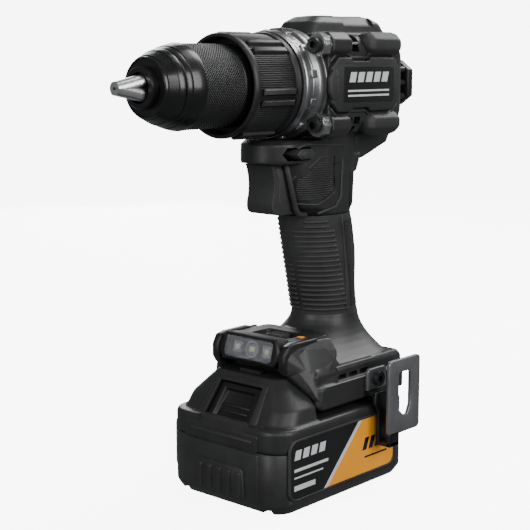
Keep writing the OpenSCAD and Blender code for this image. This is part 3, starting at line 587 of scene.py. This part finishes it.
def groove_lines(side):
    """Fine level ridges that fill the panel."""
    lines = []
    for k in range(17):
        z = 150.4 + 1.12 * k
        ends = [p[0] + (q[0] - p[0]) * (z - p[1]) / (q[1] - p[1])
                for p, q in zip(PANEL, PANEL[1:] + PANEL[:1]) if (p[1] - z) * (q[1] - z) < 0]
        way = [min(ends) + (max(ends) - min(ends)) * i / 8 for i in range(9)]
        lines.append(tube("line", [(x, side * (neck_side(x, z) + 0.1), z) for x in way], 0.38, 8))
    return lines


def neck_beads(side):
    """Bead round the panel, ridge above it and rounded edge behind the trigger."""
    bead = [(12.6, 161.6), (4.6, 167), (-3.2, 171.4), (-13.6, 171.2), (-14.6, 153), (-8, 149.6), (-1, 147.2),
            (5, 147.6), (11.6, 148.6), (12.4, 155), (12.6, 161.6)]
    ridge = [(14, 176.6), (8.6, 178.2), (-19.6, 176.4), (-20.6, 168.6), (-19.4, 150), (-15, 145.0), (-2, 142.8)]
    ways = [tube("bead", [(x, side * neck_side(x, z), z) for x, z in way], r, 10)
            for way, r in ((bead, 0.6), (ridge, 0.8))]
    guard = [(15.8, 10.6, 167.2), (13.8, 11, 160), (11.4, 11, 152), (9.2, 10.8, 146), (6.4, 10.4, 142.6),
             (1, 10.4, 141.8)]
    return ways + [tube("guard", [(x, side * y, z) for x, y, z in guard], 1.5, 14)]


def make_textures():
    """Panels beside the trigger, and the stippled strip and palm at the back."""
    for side in (1, -1):
        placed(joined("groove_panel", groove_lines(side)), RUBBER)
        placed(joined("grip_beads", neck_beads(side)), RUBBER)
    strip = combine(handle(0.2), [handle(-0.8)])
    back = [(-60, 91), (-29.6, 91), (-28.2, 104), (-25.6, 118), (-22.4, 137), (-60, 139)]
    combine(strip, [prism("cut", back, -30, 30)], "INTERSECT")
    combine(strip, screw_holes())
    placed(strip, STIPPLE)
    spare = neck(0.35)
    palm = combine(spare.pop(1), [box("cut", (-60, -27.5), (-30, 30), (143.5, 163))], "INTERSECT")
    for o in spare:
        bpy.data.objects.remove(o)
    moulded(palm, 0.6, 3)
    placed(palm, STIPPLE)


make_grips()
make_foot_details()
make_textures()


# ---- outside of the barrel

def make_side_plates():
    outline = [(3.6, -9), (3.6, 9), (-1, 13.4), (-11, 13.4), (-13, 11.6), (-25, 11.6), (-27, 13.4), (-46, 13.4),
               (-51, 9), (-51, -9), (-46, -13.4), (-27, -13.4), (-25, -11.6), (-13, -11.6), (-11, -13.4), (-1, -13.4)]
    tab_outline = [(5.8, -3.4), (5.8, 3.4), (3.6, 7.4), (0.6, 7.4), (-1.2, 4), (-1.2, -4), (0.6, -7.4), (3.6, -7.4)]
    outline, tab_outline = ([(x, SPINDLE + z) for x, z in o] for o in (outline, tab_outline))
    for side, name in ((1, "side_plate_left"), (-1, "side_plate_right")):
        plate = bevelled(prism("plate", outline, *out(side, 27.2, 30.0)), 0.7, 3)
        tab = bevelled(prism("tab", tab_outline, *out(side, 28.2, 30.5)), 0.5, 2)
        placed(joined(name + "_cover", [plate, tab]), PLATE, [name])
        panel = prism("panel", [(-25.5 + x, SPINDLE + z) for x, z in rounded(41.6, 17.6, 1.4)],
                      *out(side, 29.4, 30.15))
        placed(bevelled(panel, 0.12, 2), LABEL_BLACK)
        block = ((0, 1.2), (4.8, 1.2), (6.2, 6.2), (1.4, 6.2))
        line = ((-8, 0), (-42, 0), (-42, -0.9), (-8, -0.9))
        bars = [prism("bar", [(-9 - 6.6 * k - d, SPINDLE + z) for d, z in block], *out(side, COVER_Y, PRINT_Y))
                for k in range(5)]
        bars += [prism("bar", [(x, SPINDLE + (z - drop)) for x, z in line], *out(side, COVER_Y, PRINT_Y))
                 for drop in (2.6, 5.0)]
        placed(joined("plate_print", bars), SILVER)


def make_bumpers():
    rows = ((-24.8, 2.6), (-26.2, 5.2), (-29.8, 6.9), (-47, 6.9), (-52, 6.0), (-55.3, 3.6))
    parts = [bevelled(loft("bumper", [octagon(x, r, sy * 24.6, sz * 19.9) for x, r in rows]), 0.7, 3, 20)
             for sy, sz in CORNERS]
    placed(joined("bumpers", parts), RUBBER, ["rear_bumpers"])
    ledges = []
    for side in (1, -1):
        for up in (1, -1):
            path = [(2.6, 11.6), (-1.4, 15.0), (-10.6, 15.0), (-12.6, 13.2), (-25.4, 13.2), (-27.4, 15.0),
                    (-46.6, 15.0), (-51.6, 10.6)]
            ledges.append(tube("ledge", [(x, side * 27.5, SPINDLE + up * z) for x, z in path], 0.85, 10))
    placed(joined("ledges", ledges), PLATE)


def make_rear_cap():
    outline = [(14, 12), (21, 7), (21, -7), (14, -12), (-14, -12), (-21, -7), (-21, 7), (-14, 12)]
    rings = [[(x, y * k, SPINDLE + z * k) for y, z in outline]
             for x, k in ((-70.9, 0.9), (-71.6, 1.0), (-75.8, 1.0), (-77.4, 0.88), (-77.4, 0.78), (-76.9, 0.74))]
    cap = bevelled(loft("cap", rings), 0.45, 2, 20)
    posts = [rod("post", (-71.3, -61), 1.7, 17.6 * s, z) for s in (1, -1) for z in (-7, 0, 7)]
    bearing = span("motor_bearings", 0)[0]
    boss = lathe("cap_boss", [(-71.3, 0), (-71.3, 10.6), (-61.9, 10.6), (-61.9, 8.1), (bearing - 0.6, 8.1),
                              (bearing - 0.6, 0)], 64)
    placed(joined("end_cap", [cap, *posts, boss]), TRIM, ["rear_cap"])


def make_hump_details():
    base = hull("base", slab(-29, -17, 5.6, 236.8, 1.2) + slab(-29, -17, 5.6, 239.8, 1.2)
                + slab(-27.8, -18.2, 4.9, 241.4, 1.0))
    ribs = [tube("rib", [(-27 + 2 * k, -4.2, 241.5), (-27 + 2 * k, 4.2, 241.5)], 0.55, 8) for k in range(5)]
    placed(joined("selector_slide", [base, *ribs]), CONTROL, ["speed_selector"],
           body="speed_selector")
    arc = [(-48 + 5 * cos(radians(g)), 5.2 * sin(radians(g)), 241.6) for g in range(60, 301, 20)]
    placed(tube("hump_arc", arc, 0.45, 8), TRIM)


def make_case_rings():
    """Machined steps, tabs and screw clamps round the gear case."""
    bands = [lathe("band", [(x0, 25.8), (x0, r), (x0 + 0.5, r + 0.35), (x1 - 0.5, r + 0.35), (x1, r), (x1, 25.8)])
             for x0, x1, r in ((4.0, 6.2, 27.5), (6.9, 11.5, 27.7), (13.2, 14.6, 26.35), (15.4, 19.4, 26.2))]
    for k in range(12):
        a = radians(30 * k + 12)
        c, d = cos(a), sin(a)
        tab = hull("tab", [(x, r * c - t * d, SPINDLE + r * d + t * c) for x in (11.2, 15.6)
                           for r, w in ((25.5, 2.4), (27.5, 1.9)) for t in (-w, w)])
        bands.append(bevelled(tab, 0.25, 2, 20))
    clamp = [(4, 4.1), (4, 6.0), (8.4, 6.0), (9.2, 5.3), (9.2, 4.1)]
    bands += [lathe("clamp", clamp, 8, sy * CASE_SCREW_Y, sz * CASE_SCREW_Z) for sy, sz in CORNERS]
    placed(joined("case_rings", bands), CASE)
    a = radians(52)
    tick = hull("tick", [(x, r * cos(a + t), SPINDLE + r * sin(a + t)) for x in (15.6, 19.2)
                         for r in (26.3, 26.72) for t in (-0.025, 0.025)])
    placed(tick, SILVER)


make_side_plates()
make_bumpers()
make_rear_cap()
make_hump_details()
make_case_rings()


# ---- chuck and torque collar

def make_collar():
    def ribbed(x, a, r):
        return 0.36 * max(0.0, cos(144 * a)) if 25.6 < x < 50.4 and r > 24 else 0.0
    profile = [(21.9, 22.8), (21.9, 25.4), (22.5, 25.9), (24.6, 25.5), (25.0, 24.5), (26, 24.5), (49.9, 24.3),
               (50.6, 24.3),
               (51.0, 25.1), (52.8, 25.1), (53.5, 24.7), (53.7, 24.1), (53.7, 23.5), (53.2, 22.95), (45.7, 22.95),
               (45.7, 8.3), (43.6, 8.3), (43.6, 22.8)]
    parts = [lathe("collar", profile, 1152, ripple=ribbed)]
    for k in range(6):
        for d in (-6, 6):
            a = radians(60 * k + 18 + d - 90)
            c, e = cos(a), sin(a)
            ends = ((26, 24.2, 1.5), (25.6, 25.4, 1.5), (26.4, 26.1, 1.0), (47.6, 26.1, 1.0), (48.6, 25.4, 1.5),
                    (48.2, 24.2, 1.5))
            parts.append(hull("bar", [(x, r * c - t * e, SPINDLE + r * e + t * c) for x, r, w in ends
                                      for t in (-w, w)]))
    placed(joined("collar_grip", parts), COLLAR, ["torque_collar"], 40, body="torque_collar")


def make_chuck():
    nut = span("jaw_nut", 0)[1]

    def knurl(x, a, r):
        if not 55 < x < 80.6 or r < 19.5:
            return 0.0
        u = 84 * a / tau
        waves = [abs(2 * ((u + s * x / 1.5) % 1) - 1) for s in (1, -1)]
        return 0.5 * min(waves) - 0.3
    rows = [(48.3 + 0.25 * i, 20.0) for i in range(130)]
    back = [(47.6, 18.4), (47.6, 19.6), *rows, (80.9, 20.0), (80.9, 18.4)]
    placed(lathe("sleeve_knurl", back, 756, ripple=knurl), KNURL, ["chuck_sleeve"], 60,
           body="chuck_sleeve")
    inner = [(91.1, 16.55), (nut + 0.4, 16.55), (nut + 0.2, 18.4), (80.9, 18.4)] if nut > 80.9 else [(91.1, 16.55),
                                                                                                     (80.9, 16.55)]
    front = [(80.9, 19.9), (81.1, 20.25), (81.7, 20.3), (84.6, 19.75), (88, 18.8), (88.3, 18.35), (89.0, 18.3),
             (90.8, 17.5), (91.1, 17.0)] + inner
    placed(lathe("sleeve_front", front, 160), CHUCK, angle=22, body="chuck_sleeve")
    nose = [(91.4, 13.05), (91.4, 17.1), (91.8, 17.5), (92.6, 17.45), (94.6, 16.7), (95.0, 16.3), (99.2, 14.6),
            (99.6, 14.1), (100.5, 13.8), (100.9, 13.4), (100.9, 13.05)]
    placed(lathe("nose_ring", nose, 160), CHUCK, ["chuck_nose"], 22, body="spindle")


make_collar()
make_chuck()


# ---- controls

def make_trigger():
    arc = [(min(26.2 if z > 157 else 24.2, 48.9 - sqrt(26 ** 2 - (z - 157.5) ** 2)), z)
           for z in [146.6 + 1.05 * i for i in range(21)]]
    outline = [(5.8, 142.7), (18.2, 142.7), (21.0, 143.1), (22.9, 144.0), (23.9, 145.2), *arc, (26.0, 168.25),
               (9, 168.2), (5.8, 164)]
    body = bevelled(prism("lever", outline, -8.8, 8.8), 2.0, 5, 50)
    combine(body, [rod("seat", (4, 8.65), 5.4, 0, TRIGGER_Z - SPINDLE)])
    stem = rod("stem", (-13.6, 9), 2.9, 0, TRIGGER_Z - SPINDLE)
    sides = [bevelled(prism("side", [(8, 145), (17.6, 145), (19.8, 150), (19.4, 160), (21.6, 166.6), (10, 166.6),
                                     (8, 163)],
                            *out(s, 8.2, 9.0)), 0.3, 2) for s in (1, -1)]
    placed(joined("trigger_lever", [body, stem, *sides]), CONTROL, ["trigger"], body="trigger")


def make_buttons():
    def hexagon(k):
        return [(SHIFT_X + x * k, SHIFT_Z + z * k)
                for x, z in ((-7, 0), (-4, 2.5), (4, 2.5), (7, 0), (4, -2.5), (-4, -2.5))]
    body = bevelled(prism("shift", hexagon(1), -17.6, 19.6), 0.45, 2)
    faces = [bevelled(prism("face", hexagon(0.68), a, b), 0.25, 2) for a, b in ((19.3, 20.0), (-18.0, -17.3))]
    placed(joined("shift_bar", [body, *faces]), CONTROL, ["direction_button"],
           body="direction_button")
    base = bevelled(box("slide", (6.1, 14.1), (-5, 5), (76.3, 79.9)), 0.5, 3)
    ribs = [tube("rib", [(6.8, y, 79.9), (13.4, y, 79.9)], 0.6, 8) for y in (-3.4, -1.7, 0, 1.7, 3.4)]
    placed(joined("mode_slide", [base, *ribs]), CONTROL, ["mode_switch"], body="mode_switch")


def make_lamp():
    """Lamp box tilted up by 15 degrees, with three lamps under the clear lens."""
    c, n, up = Vector((32.6, 0, 75.8)), Vector((0.966, 0, 0.259)), Vector((-0.259, 0, 0.966))

    def at(y, v, w=0.0):
        return c + y * Vector((0, 1, 0)) + v * up + w * n
    rim = [(-17, 7.2), (17, 7.2), (20, 1.4), (20, -3.4), (17.2, -7.0), (-17.2, -7.0), (-20, -3.4), (-20, 1.4)]
    rings = [[(21.3, y * 0.98, 74.6 + v * 0.9) for y, v in rim], [at(y, v, -4.4) for y, v in rim],
             [at(y, v, -0.9) for y, v in rim], [at(y * 0.955, v * 0.9) for y, v in rim]]
    frame_body = loft("lamp_box", rings)
    pocket = loft("pocket", [[at(b, a, w) for a, b in rounded(10.8, 31.8, 2)] for w in (-4.6, 2)])
    combine(frame_body, [pocket])
    placed(bevelled(frame_body, 0.5, 2, 30), TRIM, ["led_housing"])
    discs = [loft_ring("ring", [[at(a, b, v) for a, b in circle(r)]
                                for r, v in ((r1, -4.6), (r1, w), (r0, w), (r0, -4.6))])
             for r0, r1, w in ((3.4, 4.3, -3.2), (1.9, 2.7, -3.5))]
    squares = [loft("square", [[at(s * 10 + k * a, k * b, w) for a, b in rounded(5.6, 5.6, 0.6)]
                               for k, w in ((1, -4.6), (1, -3.6), (0.8, -3.6), (0.74, -4.2))]) for s in (1, -1)]
    placed(joined("reflectors", discs + squares), MIRROR)
    chips = [loft("chip", [[at(y + k * a, k * b, w) for a, b in rounded(2.6, 2.6, 0.5)]
                           for k, w in ((1, -4.5), (1, -3.3), (0.7, -3.1))]) for y in (-10, 0, 10)]
    placed(joined("lamp_chips", chips), LAMP)


def make_hook():
    """Belt hook: a slotted outer plate, a plate under the screw, and the bent arm between them."""
    outer = prism("outer", [(-32.4 + x, 47.8 + z) for x, z in rounded(27, 39.4, 2.5)], 48.5, 50.5)
    slot = prism("slot", [(-37.6, 42), (-35.2, 37), (-32, 37), (-27.2, 41.4), (-27.2, 59.4), (-28.6, 60.5),
                          (-36.2, 60.5), (-37.6, 59.4)], 48, 51)
    combine(outer, [slot])
    plate = prism("plate", [(-17, 50.4), (-17, 60.4), (-18.4, 61.8), (-31.6, 61.8), (-33, 60.4), (-33, 50.4)], 36.1,
                  38.1)
    combine(plate, [prism("hole", circle(2.4, 24, -25, 56), 35, 39)])
    arm = prism("arm", [(-17, 50.4), (-33, 50.4), (-33, 46), (-28, 40), (-28, 22), (-20, 22), (-20, 40), (-17, 44)],
                41.3, 43.3)
    links = [box("link", (-33, -17), (36.1, 43.3), (48.4, 50.4)), box("link", (-28, -20), (41.3, 50.5), (22, 24.1)),
             box("link", (-28, -20), (48.5, 50.5), (22, 29.4))]
    faces = [bevelled(p, 0.4, 3) for p in (outer, plate)]
    placed(joined("hook", faces), HOOK, ["belt_hook"])
    # The bent arm and its links are the same coated steel as the two plates. The black screw finish on them is
    # painted shade, standing in for the shade they fall into behind and below the outer plate.
    shaded_bends = [bevelled(p, 0.4, 3) for p in (arm, *links)]
    placed(joined("hook_bends_painted_shade", shaded_bends), SCREW)


make_trigger()
make_buttons()
make_lamp()
make_hook()


# ---- battery pack

def clipped(outline, keep):
    """Part of a convex outline where keep(point) is not negative."""
    made = []
    for p, q in zip(outline, outline[1:] + outline[:1]):
        a, b = keep(p), keep(q)
        if a >= 0:
            made.append(p)
        if a * b < 0:
            made.append((p[0] + (q[0] - p[0]) * a / (a - b), p[1] + (q[1] - p[1]) * a / (a - b)))
    return made


def pack_ring(inset, z):
    """Level outline of the pack, drawn in by inset."""
    return [(x, y, z) for x, y in rounded(2 * (PACK_X - inset), 2 * (PACK_Y - inset), 13 - inset)]


def label_outline(grow):
    return [(LABEL_X + x, LABEL_Z + z) for x, z in rounded(86 + 2 * grow, 31.4 + 2 * grow, 6 + grow)]


def label_pocket(side):
    """Cutter for the shallow seat of a label."""
    return prism("pocket", label_outline(0.3), *out(side, PACK_Y - 1, PACK_Y + 3))


def panel_at(y, v, w):
    """Point on the tilted release panel: v up along it, w out of it."""
    return Vector((44.6 - 0.574 * v + 0.819 * w, y, 48 + 0.819 * v + 0.574 * w))


def make_tray():
    lower = loft("tray", [pack_ring(3.6, 0), pack_ring(3.0, 0.5), pack_ring(0.5, 4.0), pack_ring(0, 5.2),
                          pack_ring(0, 30.2), pack_ring(0.5, 30.95)])
    cuts = [loft("inside", [pack_ring(5.4, 2.2), pack_ring(2.2, 5.6), pack_ring(2.2, 32)]),
            *(box("notch", (41, 60), out(s, 25, 31), (-1, 2.4)) for s in (1, -1)),
            loft("gauge", [[(x, y, z) for y, z in circle(3.2, 24, GAUGE_Y, GAUGE_Z)] for x in (-56, -48)]),
            label_pocket(1), label_pocket(-1)]
    combine(lower, cuts)
    placed(bevelled(lower, 0.35, 2, 40), PLASTIC, ["battery_lower_shell"], body="battery")


def make_pack_top():
    """Upper shell with the tower behind the release button and the rail that slides into the foot."""
    tower = hull("tower", [(21.2, s * hy, z) for z, hy in ((36, 38), (50, 35), (63, 22)) for s in (1, -1)]
                 + [(x - r + r * cos(radians(g)), s * (hy - r + r * sin(radians(g))), z)
                    for z, x, hy, r in ((36, 52.4, 38, 13), (50, 43.4, 35, 11), (63.2, 34.4, 22, 6.5))
                    for g in range(0, 91, 9) for s in (1, -1)])
    deck = loft("deck", [pack_ring(0.5, 31.1), pack_ring(0, 31.8), pack_ring(0, 41.2), pack_ring(0.8, 42.6),
                         pack_ring(2.2, 43)])
    rail = [box("stem", (-49, 22), (-22.4, 22.4), (42, 52)), box("rail", (-49, 22), (-28, 28), (51.1, 57.3))]
    upper = moulded(joined("upper", [tower, deck]), 0.7, 4)
    hollow = [(48, 34, 36), (40, 31.4, 49.4), (31.6, 18.6, 60.4), (23.4, 35, 36), (23.4, 32, 49.4), (23.4, 19, 60.4)]
    cuts = [loft("inside", [pack_ring(2.4, 30), pack_ring(2.4, 41.4)]),
            hull("tower_inside", [(x, s * hy, z) for x, hy, z in hollow for s in (1, -1)]),
            loft("opening", [[panel_at(b * (1 - 0.002 * a), a, w) for a, b in rounded(25.4, 32.4, 3)]
                             for w in (-12, 20)]),
            box("latch", (24.8, 31.8), (-7.6, 7.6), (58, 66))]
    for side in (1, -1):
        cuts.append(label_pocket(side))
        cuts.append(box("seam", (46, 60), out(side, 14.4, 15.4), (32.5, 40)))
    combine(upper, cuts)
    combine(rail[0], [box("in", (-47, 24), (-20.4, 20.4), (40, 55.4))])
    combine(rail[1], [box("slot", (-50, -13), sorted((y - 1.2, y + 1.2)), (50.6, 62))
                      for y in (-13.5, -4.5, 4.5, 13.5)]
            + [box("in", (-47, 24), (-20.4, 20.4), (40, 55.4))])
    placed(joined("pack_top", [upper, *rail]), PLASTIC, ["battery_upper_shell"], 45,
           body="battery")


def make_pack_front():
    """Raised front of the pack with its ribbed pad."""
    low = hull("low", [(x, y, z) for y in (-25, 25) for x, z in
                       ((PACK_X - 4, 4.4), (PACK_X + 0.6, 6), (PACK_X + 0.8, 30.3), (PACK_X - 4, 30.3))])
    high = hull("high", [(x, y, z) for y in (-24.6, 24.6) for x, z in
                         ((PACK_X - 5, 31.4), (PACK_X + 0.8, 31.4), (PACK_X + 0.6, 38.6), (PACK_X - 2.6, 42.8),
                          (PACK_X - 5, 43.6))])
    pad = hull("pad", [(x, y, z) for x, z, w in
                       ((PACK_X - 3, 4.6, 17), (PACK_X + 1.5, 6.4, 17), (PACK_X + 1.8, 20.4, 16),
                        (PACK_X - 3, 22, 14.6), (PACK_X + 1.5, 21.6, 14.6)) for y in (-w, w)])
    ribs = [hull("rib", [(PACK_X + d, y + t, z) for d, t, z in
                         ((1.4, -1.7, 6.2), (1.4, 1.7, 6.2), (2.6, -1.1, 7.4), (2.6, 1.1, 7.4), (2.8, -1.1, 18.4),
                          (2.8, 1.1, 18.4), (1.5, -1.7, 19.8), (1.5, 1.7, 19.8))]) for y in (-13, -6.5, 0, 6.5, 13)]
    blocks = [bevelled(o, 0.7, 3) for o in (low, high, pad)] + [bevelled(r, 0.3, 2) for r in ribs]
    placed(joined("front_pad", blocks), PLASTIC, body="battery")


def make_labels():
    """Two-colour labels with a slanted divider inside a raised rim, with plain printed bars."""
    def divider(p):
        return (p[0] + 12.9) * 30.8 - (38 - p[1]) * 29.8
    for side in (1, -1):
        y0, y1 = out(side, PACK_Y - 0.9, PACK_Y - 0.25)
        whole = label_outline(-1.2)
        front = prism("label_front", clipped(whole, divider), y0, y1)
        back = prism("label_back", clipped(whole, lambda p: -divider(p)), y0, y1)
        placed(front, LABEL_BLACK, ["battery_labels"], body="battery")
        placed(back, YELLOW, body="battery")
        outer, inner = label_outline(0), label_outline(-1.3)
        rings = [[(x, side * (PACK_Y + w), z) for x, z in ring] for ring, w in
                 ((outer, -0.9), (outer, 0.1), (label_outline(-0.4), 0.35), (label_outline(-0.9), 0.35), (inner, 0.0),
                  (inner, -0.9))]
        placed(loft_ring("ring", rings), PLATE, body="battery")
        print_y = out(side, PACK_Y - 0.3, PACK_Y - 0.16)
        bars = [prism("bar", [(42 - 6.2 * k - d, z) for d, z in ((0, 27.6), (4.4, 27.6), (5.6, 32.4), (1.2, 32.4))],
                      *print_y)
                for k in range(4)]
        bars += [prism("bar", [(42, z), (42 - w, z), (42 - w, z + h), (42, z + h)], *print_y)
                 for z, w, h in ((21.6, 26, 1.5), (18.2, 22, 0.8), (12.0, 16, 2.6))]
        stripe = clipped(clipped(whole, divider), lambda p: 90 - divider(p))
        bars.append(prism("stripe", stripe, *print_y))
        placed(joined("label_print", bars), SILVER, body="battery")
        dark = [prism("bar", [(-12 - 5.2 * k - d, z) for d, z in ((0, 20), (3.4, 20), (5.8, 26.5), (2.4, 26.5))],
                      *print_y)
                for k in range(3)]
        dark.append(prism("bar", [(-14, 15.6), (-33, 15.6), (-33, 16.6), (-14, 16.6)], *print_y))
        placed(joined("label_marks", dark), LABEL_BLACK, body="battery")


def make_gauge():
    """Charge gauge at the back of the pack: a shallow panel with four small windows."""
    panel = prism("panel", [(-3 + y, 22 + z) for y, z in rounded(42, 13, 3)], -PACK_X - 0.3, -PACK_X + 2, "yz")
    hole = prism("hole", circle(4.6, 32, GAUGE_Y, GAUGE_Z), -PACK_X - 2, -PACK_X + 4, "yz")
    combine(panel, [hole])
    placed(bevelled(panel, 0.3, 2), TRIM, body="battery")
    windows = [bevelled(prism("window", [(-8 + 6 * k + y, GAUGE_Z + z) for y, z in rounded(3.6, 5, 1)],
                              -PACK_X - 0.55, -PACK_X, "yz"), 0.15, 2) for k in range(4)]
    placed(joined("gauge_windows", windows), SILVER, body="battery")


def make_release():
    outline = [(12.2, 13.6), (12.2, -13.6), (-12.2, -15.7), (-12.2, 15.7)]
    plate = loft("plate", [[panel_at(y * k, v * k, w) for v, y in outline] for k,
                           w in ((1, -3.6), (1, -1.2), (0.96, -0.7))])
    scoop = loft("scoop", [[panel_at(y * 0.8 * k, v * 0.76 * k + 0.8, w) for v, y in outline]
                           for k, w in ((0.86, -2.9), (1, 1))])
    combine(plate, [scoop])
    ribs = [tube("rib", [panel_at(-9, v, -2.8), panel_at(9, v, -2.8)], 0.7, 10) for v in (-2, 1.2)]
    latch = [box("latch", (28.2, 36.8), (-7, 7), (53.2, 55.4)), box("latch", (28.2, 31.2), (-7, 7), (53.2, 64.6))]
    placed(joined("release_plate", [bevelled(plate, 0.35, 2), *ribs, *latch]), TRIM,
           ["release_button"], body="release_button")
    edge = [(14.6, 17.2), (14.6, -17.2), (-15.6, -21), (-15.6, 21)]
    inner = [(12.7, 14.3), (12.7, -14.3), (-12.7, -16.4), (-12.7, 16.4)]
    rings = [[panel_at(y, v, w) for v, y in loop] for loop, w in ((edge, -1.5), (edge, 0.6), (inner, 0.9),
                                                                  (inner, -1.5))]
    placed(bevelled(loft_ring("ring", rings), 0.3, 3), PLATE, body="battery")


make_tray()
make_pack_top()
make_pack_front()
make_labels()
make_gauge()
make_release()


# ---- finishes of the CAD pieces that stay

FINISHES = (
    (SCREW, "housing_screws gear_case_screws belt_hook_screw"),
    (CASE, "gear_case gearbox_cover"),
    (GEAR, "ring_gear_1 ring_gear_2 clutch_plate clutch_nut spindle jaw_nut carrier_1 planet_1a planet_1b planet_1c "
           "planet_2a planet_2b planet_2c motor_shaft"),
    (BEARING, "spindle_bearings motor_bearings"),
    (STATOR, "stator"),
    (SPRING, "clutch_spring trigger_spring"),
    (TRIM, "switch_module terminal_block rotor fan cell_frames"),
    (BOARD, "controller battery_board"),
    (WIRE, "motor_wires"),
    (CHUCK, "chuck_body"),
    (JAW, "jaw_1 jaw_2 jaw_3"),
    (LENS, "led_lens"),
    (CELL, "battery_cells"),
    (CONTROL, "gauge_button"),
)


def finish_cad():
    for finish, names in FINISHES:
        for name in names.split():
            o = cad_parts[name]
            for s in o.material_slots:
                s.material = finish
            if not o.material_slots:
                o.data.materials.append(finish)


finish_cad()


# ---- camera, light and floor

def aimed(o, place, direction):
    """Puts a light or camera at a place, looking along a direction."""
    o.location = place
    o.rotation_mode = "QUATERNION"
    o.rotation_quaternion = Vector(direction).to_track_quat("-Z", "Y")
    return o


def area_light(name, place, target, size, power):
    """Soft white light; place, target and size are in metres."""
    data = bpy.data.lights.new(name, "AREA")
    data.shape = "RECTANGLE"
    data.size, data.size_y = size
    data.energy = power
    aimed(linked(name, data), place, Vector(target) - Vector(place))


def make_stage():
    """Pale floor that curves up into a wall all round."""
    bend = 1200
    curve = [(2 * bend + bend * sin(radians(g)), bend - bend * cos(radians(g)))
             for g in range(10, 91, 10)]
    profile = [(900, 0), (2 * bend, 0), *curve, (3 * bend, 5200)]
    n = 64
    verts = [(x, y, z) for r, z in profile for x, y in circle(r, n)]
    floor = mesh_object("floor", verts, strips(n, len(profile)) + [tuple(range(n))])
    floor.data.shade_smooth()
    floor.data.flip_normals()
    m = material("pale_floor", (0.8, 0.8, 0.805), 0.7, grain=6.0, depth=0.01, mottle=0.01, glow=9.0)
    floor.data.materials.append(m)
    floor.visible_glossy = False
    floor.visible_diffuse = False
    world = bpy.data.worlds.new("studio")
    bpy.context.scene.world = world
    world.use_nodes = True
    back = world.node_tree.nodes["Background"]
    back.inputs[0].default_value = (0.92, 0.96, 1, 1)
    back.inputs[1].default_value = 0.22
    area_light("key", (-0.15, 1.25, 0.6), (-0.01, 0.02, 0.13), (0.45, 0.9), 15)
    area_light("top", (-0.85, 0.1, 1.05), (0, 0, 0.18), (0.5, 1.0), 18)
    area_light("fill", (0.75, 1.05, 0.75), (0, 0, 0.12), (0.6, 0.6), 9)
    area_light("front", (1.25, 0.0, 0.5), (0.02, 0, 0.12), (0.4, 0.9), 11)
    area_light("rim", (-0.7, -0.9, 0.5), (0, 0, 0.15), (0.3, 0.9), 5)


def make_camera():
    data = bpy.data.cameras.new("camera")
    data.sensor_width = 36
    data.lens = 85.4
    data.clip_start, data.clip_end = 0.01, 60
    camera = aimed(linked("camera", data), (0.4874, 0.4198, 0.2215), (-0.7339, -0.6592, -0.1640))
    bpy.context.scene.camera = camera


make_stage()
make_camera()
